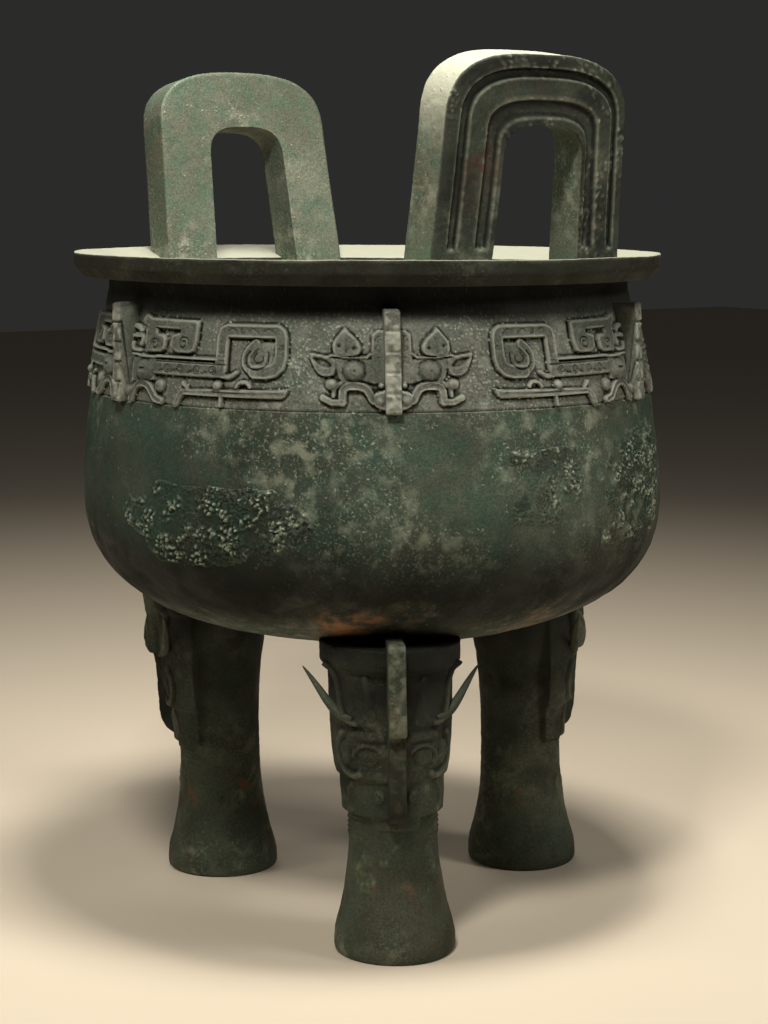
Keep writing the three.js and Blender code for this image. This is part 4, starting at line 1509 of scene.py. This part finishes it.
def linear(colour: Colour) -> tuple[float, float, float, float]:
    """A display colour of 0 to 255 as the linear colour that a shader takes."""
    share = np.array(colour, float) / 255.0
    value = np.where(share <= 0.04045, share / 12.92, ((share + 0.055) / 1.055) ** 2.4)
    return (float(value[0]), float(value[1]), float(value[2]), 1.0)


@dataclass(frozen=True)
class Patina:
    """A patinated bronze surface: its colours, how they are spread, and how it takes the light."""

    name: str
    dark: Colour
    light: Colour
    green: Colour
    brown: Colour = (74, 50, 34)
    pale: Colour = (142, 146, 124)
    # The pit colour also paints shade in sunk places, the crust colour also paints highlight on tops, and
    # the darkest colour below is mostly painted shade and painted shadow.
    pit_and_shade: Colour = (24, 25, 18)
    crust_and_highlight: Colour = (112, 124, 98)
    rust: Colour = (142, 96, 66)
    dark_tone_and_shade: Colour = (17, 18, 14)
    brown_share: float = 0.25
    speck_share: float = 0.5
    nub_share: float = 0.6
    freckle_share: float = 0.4
    wear_share: float = 0.45
    rough_low: float = 0.5
    rough_high: float = 0.82
    metallic: float = 0.22
    gloss: float = 0.24
    grain: float = 0.5


@dataclass(frozen=True)
class Mottle:
    """How one mask of cloudy patches is spread over a surface."""

    scale: float
    seed: float
    level: float
    softness: float


MOTTLES = {
    "broad": Mottle(5.5, 3.1, 0.38, 0.26),
    "middle": Mottle(21.0, 7.7, 0.42, 0.24),
    "leafy": Mottle(9.0, 12.9, 0.47, 0.22),
    "freckle": Mottle(52.0, 17.1, 0.46, 0.16),
    "brown": Mottle(8.0, 21.3, 0.50, 0.16),
    "cluster": Mottle(8.5, 52.7, 0.46, 0.14),
    "speck": Mottle(380.0, 31.9, 0.55, 0.12),
    "flake": Mottle(62.0, 40.3, 0.50, 0.16),
    "grit": Mottle(420.0, 64.1, 0.36, 0.30),
}


@dataclass(frozen=True)
class Texture:
    """Sizes that the shared groups use: scales in features a metre, the rest in metres or shares."""

    fine_grain: float = 620.0
    coarse_grain: float = 150.0
    pits: float = 210.0
    pit_reach: float = 0.2
    relief: float = 0.0016
    ragged: float = 240.0
    ragged_shift: float = 0.007
    nubs: float = 170.0
    nub_reach: float = 0.33
    nub_slope: float = 5.0
    nub_chance: float = 0.07
    cluster_chance: float = 0.30
    border: float = 170.0
    border_level: float = 0.42
    border_slope: float = 1.6


TEXTURE = Texture()


class Shader:
    """A small hand for laying out shader nodes."""

    def __init__(self, tree: bpy.types.NodeTree) -> None:
        """Work in one tree.

        Args:
            tree: the node tree to fill.
        """
        self.tree = tree

    def add(self, kind: str, **settings: object) -> bpy.types.Node:
        """Add a node and set its options."""
        node = self.tree.nodes.new(kind)
        for key, value in settings.items():
            setattr(node, key, value)
        return node

    def feed(self, socket: bpy.types.NodeSocket, source: object) -> None:
        """Give an input a link, when the source is a socket, or a value."""
        if isinstance(source, bpy.types.NodeSocket):
            self.tree.links.new(source, socket)
        else:
            socket.default_value = source

    def mix(self, share: object, first: object, second: object) -> bpy.types.NodeSocket:
        """Blend two colours."""
        node = self.add("ShaderNodeMix", data_type="RGBA")
        self.feed(node.inputs[0], share)
        self.feed(node.inputs[6], first)
        self.feed(node.inputs[7], second)
        return node.outputs[2]

    def math(self, operation: str, first: object, second: object = 0.0) -> bpy.types.NodeSocket:
        """Combine two values, clamped to 0 to 1."""
        node = self.add("ShaderNodeMath", operation=operation, use_clamp=True)
        self.feed(node.inputs[0], first)
        self.feed(node.inputs[1], second)
        return node.outputs[0]

    def noise(self, place: object, scale: object, detail: float) -> bpy.types.NodeSocket:
        """Cloudy noise at a place."""
        node = self.add("ShaderNodeTexNoise")
        node.inputs["Detail"].default_value = detail
        self.feed(node.inputs["Vector"], place)
        self.feed(node.inputs["Scale"], scale)
        return node.outputs["Fac"]

    def mark(self, name: str) -> bpy.types.NodeSocket:
        """Read one of the mesh's marks."""
        return self.add("ShaderNodeAttribute", attribute_name=name).outputs["Fac"]

    def use(self, group: bpy.types.NodeTree, **sources: object) -> bpy.types.NodeSocket:
        """Place a shared group and feed its inputs by name; gives its only output."""
        node = self.add("ShaderNodeGroup")
        node.node_tree = group
        for key, source in sources.items():
            self.feed(node.inputs[key], source)
        return node.outputs[0]


def new_group(name: str, inputs: Sequence[tuple[str, str]], output: tuple[str, str]) -> Shader:
    """Start a shared node group.

    Args:
        name: the group's name.
        inputs: (name, socket kind) of each input.
        output: (name, socket kind) of its output.

    Returns:
        A shader hand in the group's tree.
    """
    tree = bpy.data.node_groups.new(name, "ShaderNodeTree")
    for label, kind in inputs:
        tree.interface.new_socket(label, in_out="INPUT", socket_type=kind)
    tree.interface.new_socket(output[0], in_out="OUTPUT", socket_type=output[1])
    return Shader(tree)


def mottle_group() -> bpy.types.NodeTree:
    """Patches with soft borders: a mask of where cloudy noise is above a level."""
    hand = new_group("mottle", [("Place", "NodeSocketVector"), ("Scale", "NodeSocketFloat"),
                                ("Seed", "NodeSocketFloat"), ("Level", "NodeSocketFloat"),
                                ("Softness", "NodeSocketFloat")], ("Mask", "NodeSocketFloat"))
    source = hand.add("NodeGroupInput").outputs
    moved = hand.add("ShaderNodeVectorMath", operation="ADD")
    hand.feed(moved.inputs[0], source["Place"])
    hand.feed(moved.inputs[1], source["Seed"])
    cloud = hand.noise(moved.outputs[0], source["Scale"], 6.0)
    above = hand.add("ShaderNodeMath", operation="SUBTRACT")
    hand.feed(above.inputs[0], cloud)
    hand.feed(above.inputs[1], source["Level"])
    share = hand.math("DIVIDE", above.outputs[0], source["Softness"])
    hand.feed(hand.add("NodeGroupOutput").inputs["Mask"], share)
    return hand.tree


def grain_group() -> bpy.types.NodeTree:
    """The fine pitted grain of corroded bronze, as a normal."""
    hand = new_group("grain", [("Place", "NodeSocketVector"), ("Nub", "NodeSocketFloat"),
                               ("Strength", "NodeSocketFloat")], ("Normal", "NodeSocketVector"))
    source = hand.add("NodeGroupInput").outputs
    fine = hand.noise(source["Place"], TEXTURE.fine_grain, 4.0)
    coarse = hand.noise(source["Place"], TEXTURE.coarse_grain, 5.0)
    pits = hand.add("ShaderNodeTexVoronoi", feature="F1")
    hand.feed(pits.inputs["Vector"], source["Place"])
    hand.feed(pits.inputs["Scale"], TEXTURE.pits)
    hole = hand.math("LESS_THAN", pits.outputs["Distance"], TEXTURE.pit_reach)
    height = hand.math("ADD", hand.math("MULTIPLY", fine, 0.35), hand.math("MULTIPLY", coarse, 0.5))
    height = hand.math("SUBTRACT", height, hand.math("MULTIPLY", hole, 0.12))
    height = hand.math("ADD", height, hand.math("MULTIPLY", source["Nub"], 0.5))
    bump = hand.add("ShaderNodeBump")
    bump.inputs["Distance"].default_value = TEXTURE.relief
    hand.feed(bump.inputs["Strength"], source["Strength"])
    hand.feed(bump.inputs["Height"], height)
    hand.feed(hand.add("NodeGroupOutput").inputs["Normal"], bump.outputs["Normal"])
    return hand.tree


def nub_group() -> bpy.types.NodeTree:
    """Scattered hard grains that stand proud of the skin, thicker where the clusters are."""
    hand = new_group("nubs", [("Place", "NodeSocketVector"), ("Cluster", "NodeSocketFloat")],
                     ("Mask", "NodeSocketFloat"))
    source = hand.add("NodeGroupInput").outputs
    ragged = hand.add("ShaderNodeTexNoise")
    ragged.inputs["Scale"].default_value = TEXTURE.ragged
    hand.feed(ragged.inputs["Vector"], source["Place"])
    shift = hand.add("ShaderNodeVectorMath", operation="SCALE")
    shift.inputs["Scale"].default_value = TEXTURE.ragged_shift
    hand.feed(shift.inputs[0], ragged.outputs["Color"])
    moved = hand.add("ShaderNodeVectorMath", operation="ADD")
    hand.feed(moved.inputs[0], source["Place"])
    hand.feed(moved.inputs[1], shift.outputs[0])
    grains_at = hand.add("ShaderNodeTexVoronoi", feature="F1")
    hand.feed(grains_at.inputs["Vector"], moved.outputs[0])
    hand.feed(grains_at.inputs["Scale"], TEXTURE.nubs)
    near = hand.math("SUBTRACT", TEXTURE.nub_reach, grains_at.outputs["Distance"])
    tip = hand.math("MULTIPLY", near, TEXTURE.nub_slope)
    split = hand.add("ShaderNodeSeparateColor")
    hand.feed(split.inputs["Color"], grains_at.outputs["Color"])
    chance = hand.math("MULTIPLY", source["Cluster"], TEXTURE.cluster_chance)
    chance = hand.math("ADD", chance, TEXTURE.nub_chance)
    chosen = hand.math("LESS_THAN", split.outputs["Red"], chance)
    hand.feed(hand.add("NodeGroupOutput").inputs["Mask"], hand.math("MULTIPLY", tip, chosen))
    return hand.tree


def layer_group() -> bpy.types.NodeTree:
    """A layer of colour, ragged at its border, over the colour beneath it."""
    hand = new_group("layer", [("Base", "NodeSocketColor"), ("Layer", "NodeSocketColor"),
                               ("Mark", "NodeSocketFloat"), ("Share", "NodeSocketFloat"),
                               ("Place", "NodeSocketVector")], ("Color", "NodeSocketColor"))
    source = hand.add("NodeGroupInput").outputs
    ragged = hand.math("MULTIPLY", hand.noise(source["Place"], TEXTURE.border, 4.0), 0.9)
    lifted = hand.math("ADD", source["Mark"], ragged)
    above = hand.math("SUBTRACT", lifted, TEXTURE.border_level)
    edge = hand.math("MULTIPLY", above, TEXTURE.border_slope)
    share = hand.math("MULTIPLY", hand.math("MULTIPLY", edge, source["Share"]), source["Mark"])
    share = hand.math("MULTIPLY", share, TEXTURE.border_slope)
    hand.feed(hand.add("NodeGroupOutput").inputs["Color"],
              hand.mix(share, source["Base"], source["Layer"]))
    return hand.tree


@dataclass
class Workshop:
    """The shared node groups and the finishes made with them."""

    mottle: bpy.types.NodeTree = field(default_factory=mottle_group)
    grain: bpy.types.NodeTree = field(default_factory=grain_group)
    nubs: bpy.types.NodeTree = field(default_factory=nub_group)
    layer: bpy.types.NodeTree = field(default_factory=layer_group)

    def patches(self, hand: Shader, place: object) -> dict[str, bpy.types.NodeSocket]:
        """Every mottle mask at a place, by name."""
        return {name: hand.use(self.mottle, Place=place, Scale=spread.scale, Seed=spread.seed,
                               Level=spread.level, Softness=spread.softness)
                for name, spread in MOTTLES.items()}

    def colour(self, hand: Shader, look: Patina, place: object, masks: dict[str, object],
               nub: object) -> bpy.types.NodeSocket:
        """The patina's colour before its dark tone and painted shade: mottling, specks and grains, then the
        marked layers of painted shade in sunk places, wear, crust with painted highlight on tops, and rust.

        Args:
            hand: the material's shader hand.
            look: its colours and shares.
            place: object coordinates.
            masks: the mottle masks by name.
            nub: the mask of hard grains.

        Returns:
            The colour's socket.
        """
        cluster = masks["cluster"]
        flakes = hand.math("MULTIPLY", masks["flake"], cluster)
        flakes = hand.math("MULTIPLY", flakes, 1.1 * look.speck_share)
        specks = hand.math("MULTIPLY", hand.math("ADD", cluster, 0.12), look.speck_share)
        specks = hand.math("MULTIPLY", masks["speck"], specks)
        shares = (
            (hand.math("MULTIPLY", masks["middle"], 0.55), look.dark),
            (hand.math("MULTIPLY", masks["leafy"], 0.55), look.green),
            (hand.math("MULTIPLY", masks["freckle"], look.freckle_share), look.green),
            (hand.math("MULTIPLY", masks["brown"], look.brown_share), look.brown),
            (hand.math("MULTIPLY", masks["grit"], 0.42), look.pit_and_shade),
            (flakes, look.pale),
            (specks, look.pale),
            (hand.math("MULTIPLY", nub, look.nub_share), look.crust_and_highlight),
        )
        colour = hand.mix(masks["broad"], linear(look.dark), linear(look.light))
        for share, paint in shares:
            colour = hand.mix(share, colour, linear(paint))
        # The hollow layer is painted shade; the crust layer also paints highlight on the rim and handle
        # tops.
        layers = (("hollow", look.pit_and_shade, 0.75), ("worn", look.pale, look.wear_share),
                  ("crust_and_highlight", look.crust_and_highlight, 0.95), ("rust", look.rust, 0.8))
        for mark, paint, amount in layers:
            colour = hand.use(self.layer, Base=colour, Layer=linear(paint), Mark=hand.mark(mark),
                              Share=amount, Place=place)
        return colour

    def finish(self, look: Patina) -> bpy.types.Material:
        """Make one patina.

        Args:
            look: its colours and shares.

        Returns:
            A material driven by object coordinates and the pieces' marks.
        """
        material = bpy.data.materials.new(look.name)
        material.use_nodes = True
        material.node_tree.nodes.clear()
        hand = Shader(material.node_tree)
        place = hand.add("ShaderNodeTexCoord").outputs["Object"]
        masks = self.patches(hand, place)
        nub = hand.use(self.nubs, Place=place, Cluster=masks["cluster"])
        dark_tone_and_shade = hand.mark("dark_tone_and_shade")
        colour = self.colour(hand, look, place, masks, nub)
        # Darken by the dark mark: mostly painted shade and painted shadow, with some real dark tone.
        colour = hand.mix(dark_tone_and_shade, colour, linear(look.dark_tone_and_shade))
        principled = hand.add("ShaderNodeBsdfPrincipled")
        hand.feed(principled.inputs["Base Color"], colour)
        span = look.rough_high - look.rough_low
        rough = hand.math("ADD", hand.math("MULTIPLY", masks["middle"], span), look.rough_low)
        # Painted shade is also made rougher and less metallic, so reflections do not lift it.
        rough = hand.math("ADD", rough, hand.math("MULTIPLY", dark_tone_and_shade, 0.25))
        hand.feed(principled.inputs["Roughness"], rough)
        clear = hand.math("SUBTRACT", 1.0, dark_tone_and_shade)
        hand.feed(principled.inputs["Metallic"], hand.math("MULTIPLY", clear, look.metallic))
        principled.inputs["Specular IOR Level"].default_value = look.gloss
        hand.feed(principled.inputs["Normal"],
                  hand.use(self.grain, Place=place, Nub=nub, Strength=look.grain))
        hand.feed(hand.add("ShaderNodeOutputMaterial").inputs["Surface"], principled.outputs["BSDF"])
        return material


# ---------------------------------------------------------------- stage


@dataclass(frozen=True)
class Viewpoint:
    """Where the camera stands and how it is turned, in degrees."""

    place: tuple[float, float, float] = (1.9226, -1.3069, 0.7531)
    heading: float = 55.85
    yaw: float = 0.45
    pitch: float = 8.29
    roll: float = 0.22
    lens: float = 77.1

    def make(self) -> bpy.types.Object:
        """Set up the scene's camera."""
        yaw, pitch, roll = np.radians([self.yaw, self.pitch, self.roll])
        right = Vector((np.cos(yaw), -np.sin(yaw), 0.0))
        ahead = Vector((np.sin(yaw) * np.cos(pitch), np.cos(yaw) * np.cos(pitch), -np.sin(pitch)))
        up = right.cross(ahead)
        axes = (np.cos(roll) * right + np.sin(roll) * up, np.cos(roll) * up - np.sin(roll) * right, -ahead)
        turned = Matrix([list(axis) for axis in axes]).transposed()
        turned = Matrix.Rotation(np.radians(self.heading), 3, "Z") @ turned
        data = bpy.data.cameras.new("view")
        data.lens = self.lens
        data.clip_start, data.clip_end = 0.05, 40.0
        camera = bpy.data.objects.new("view", data)
        camera.matrix_world = Matrix.Translation(Vector(self.place)) @ turned.to_4x4()
        bpy.context.scene.collection.objects.link(camera)
        bpy.context.scene.camera = camera
        return camera


@dataclass(frozen=True)
class Lamp:
    """A soft square light, placed by its turn from the camera's side, its height and its distance."""

    name: str
    turn: float
    rise: float
    distance: float
    size: float
    power: float
    spread: float = 180.0
    colour: Colour = (255, 250, 240)
    aim: tuple[float, float, float] = (0.0, 0.0, 0.45)

    def make(self, heading: float) -> bpy.types.Object:
        """Hang the light and point it at the vessel.

        Args:
            heading: the camera's heading in degrees.

        Returns:
            The light.
        """
        around = np.radians(self.turn + heading - 90.0)
        rise = np.radians(self.rise)
        aim = Vector(self.aim)
        away = Vector((np.cos(rise) * np.cos(around), np.cos(rise) * np.sin(around), np.sin(rise)))
        data = bpy.data.lights.new(self.name, "AREA")
        data.energy, data.size, data.spread = self.power, self.size, np.radians(self.spread)
        data.color = linear(self.colour)[:3]
        lamp = bpy.data.objects.new(self.name, data)
        lamp.matrix_world = Matrix.Translation(aim + away * self.distance) @ (
            away.to_track_quat("Z", "Y").to_matrix().to_4x4())
        bpy.context.scene.collection.objects.link(lamp)
        return lamp


FLOOR_HALF = 9.0
FLOOR_COLOUR = (214, 201, 181)
ROOM_COLOUR = (196, 194, 192)
ROOM_STRENGTH = 0.045
LAMPS = (
    Lamp("key", -12.0, 50.0, 3.0, 0.42, 11.0, spread=80.0),
    Lamp("over", 18.0, 81.0, 2.6, 0.45, 16.0, spread=84.0),
    Lamp("side", 66.0, 34.0, 3.0, 0.7, 6.0, spread=90.0),
    Lamp("left", -72.0, 38.0, 3.0, 0.8, 2.6, spread=90.0),
    Lamp("back", 190.0, 44.0, 3.4, 1.8, 5.0, spread=100.0),
)


def make_stage(heading: float) -> None:
    """Lay the floor, hang the lights and set the room's faint light.

    Args:
        heading: the camera's heading in degrees.
    """
    mesh = bpy.data.meshes.new("floor")
    half = FLOOR_HALF
    mesh.from_pydata([(-half, -half, 0), (half, -half, 0), (half, half, 0), (-half, half, 0)], [],
                     [(0, 1, 2, 3)])
    paint = bpy.data.materials.new("pale_floor")
    paint.use_nodes = True
    shader = paint.node_tree.nodes["Principled BSDF"]
    shader.inputs["Base Color"].default_value = linear(FLOOR_COLOUR)
    shader.inputs["Roughness"].default_value = 0.75
    mesh.materials.append(paint)
    floor = bpy.data.objects.new("floor", mesh)
    bpy.context.scene.collection.objects.link(floor)
    for lamp in LAMPS:
        lamp.make(heading)
    world = bpy.data.worlds.new("room")
    world.use_nodes = True
    room = world.node_tree.nodes["Background"]
    room.inputs["Color"].default_value = linear(ROOM_COLOUR)
    room.inputs["Strength"].default_value = ROOM_STRENGTH
    bpy.context.scene.world = world
    bpy.context.scene.view_settings.view_transform = "Standard"


# ---------------------------------------------------------------- the vessel

BODY_LOOK = Patina("patina_body", dark=(56, 67, 56), light=(102, 112, 97), green=(52, 90, 76),
                   crust_and_highlight=(140, 152, 132), rust=(148, 104, 74), pale=(152, 158, 138), grain=0.85,
                   nub_share=0.8, speck_share=0.55)
BAND_LOOK = Patina("patina_band", dark=(98, 103, 94), light=(136, 139, 128), green=(104, 121, 107),
                   brown_share=0.15, speck_share=0.35, nub_share=0.12, wear_share=0.55,
                   pale=(180, 183, 170), crust_and_highlight=(164, 168, 154), grain=0.8)
# The handles' darkest colour paints the shade on their outer faces; their crust colour also paints the
# highlight on the top edge.
HANDLE_LOOK = Patina("patina_handle", dark=(112, 117, 99), light=(142, 145, 126), green=(97, 123, 104),
                     brown_share=0.12, pale=(178, 180, 160), pit_and_shade=(48, 50, 38), dark_tone_and_shade=(36, 39, 36),
                     crust_and_highlight=(192, 194, 174), rust=(118, 80, 66), nub_share=0.35, grain=0.6,
                     freckle_share=0.65)
# The rim's crust colour paints its dusty top with a painted highlight.
RIM_LOOK = Patina("patina_rim", dark=(60, 62, 50), light=(84, 84, 70), green=(70, 80, 64),
                  crust_and_highlight=(172, 174, 156), brown_share=0.12, nub_share=0.2)
LEG_LOOK = Patina("patina_leg", dark=(62, 67, 54), light=(94, 101, 85), green=(70, 90, 74),
                  rust=(118, 80, 58), brown_share=0.22, speck_share=0.45, nub_share=0.35,
                  wear_share=0.45, grain=0.7)


def build_vessel(casting: Casting, shop: Workshop) -> list[bpy.types.Object]:
    """Make every piece of the vessel.

    Args:
        casting: the shared outline and lean.
        shop: the shared node groups.

    Returns:
        The pieces.
    """
    body, band, grip, lip, column = (
        shop.finish(look) for look in (BODY_LOOK, BAND_LOOK, HANDLE_LOOK, RIM_LOOK, LEG_LOOK))
    pieces = [Bowl(casting, "belly").build(body), Rim(casting, "rim").build(lip)]
    pieces += [Frieze(casting, f"band_{angle}", middle=float(angle), step=step).build(band)
               for angle, step in ((90, 1.25), (210, 1.25), (330, 1.08))]
    pieces.append(NeckFlanges(casting, "band_flanges").build(band))
    pieces += [
        CrustPatch(casting, "crust_left", heading=-65.0, level=437.0, half_turn=25.0,
                   half_height=46.0, bare=0.1, tilt=-0.25, seed=40).build(body),
        CrustPatch(casting, "crust_middle", heading=-1.0, level=476.0, half_turn=9.0,
                   half_height=42.0, thick=2.6, bare=-0.1, tilt=0.8, seed=45).build(body),
        CrustPatch(casting, "crust_right", heading=27.0, level=466.0, half_turn=17.0,
                   half_height=62.0, thick=2.6, bare=0.0, tilt=0.5, seed=47).build(body),
    ]
    low_hole = Arch(53.0, 48.0, 88.0, 125.0, 3.0, -24.0)
    pieces += [Handle(casting, "handle_right", heading=0.0, hole=low_hole, drift=11.0,
                      top_wear_and_highlight=0.95).build(grip),
               Handle(casting, "handle_left", heading=180.0).build(grip)]
    pieces += [Leg(casting, f"leg_{angle}", heading=float(angle), seed=angle // 10,
                   fine_columns=columns, step=step).build(column)
               for angle, columns, step in ((90, 132, 2.0), (210, 132, 2.0), (330, 156, 1.7))]
    return pieces


def main() -> None:
    """Build the vessel, its stage and its camera."""
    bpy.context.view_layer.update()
    pieces = build_vessel(Casting(), Workshop())
    view = Viewpoint()
    view.make()
    make_stage(view.heading)
    bpy.context.view_layer.update()
    LOG.info("%d pieces", len(pieces))


if __name__ == "__main__":
    main()
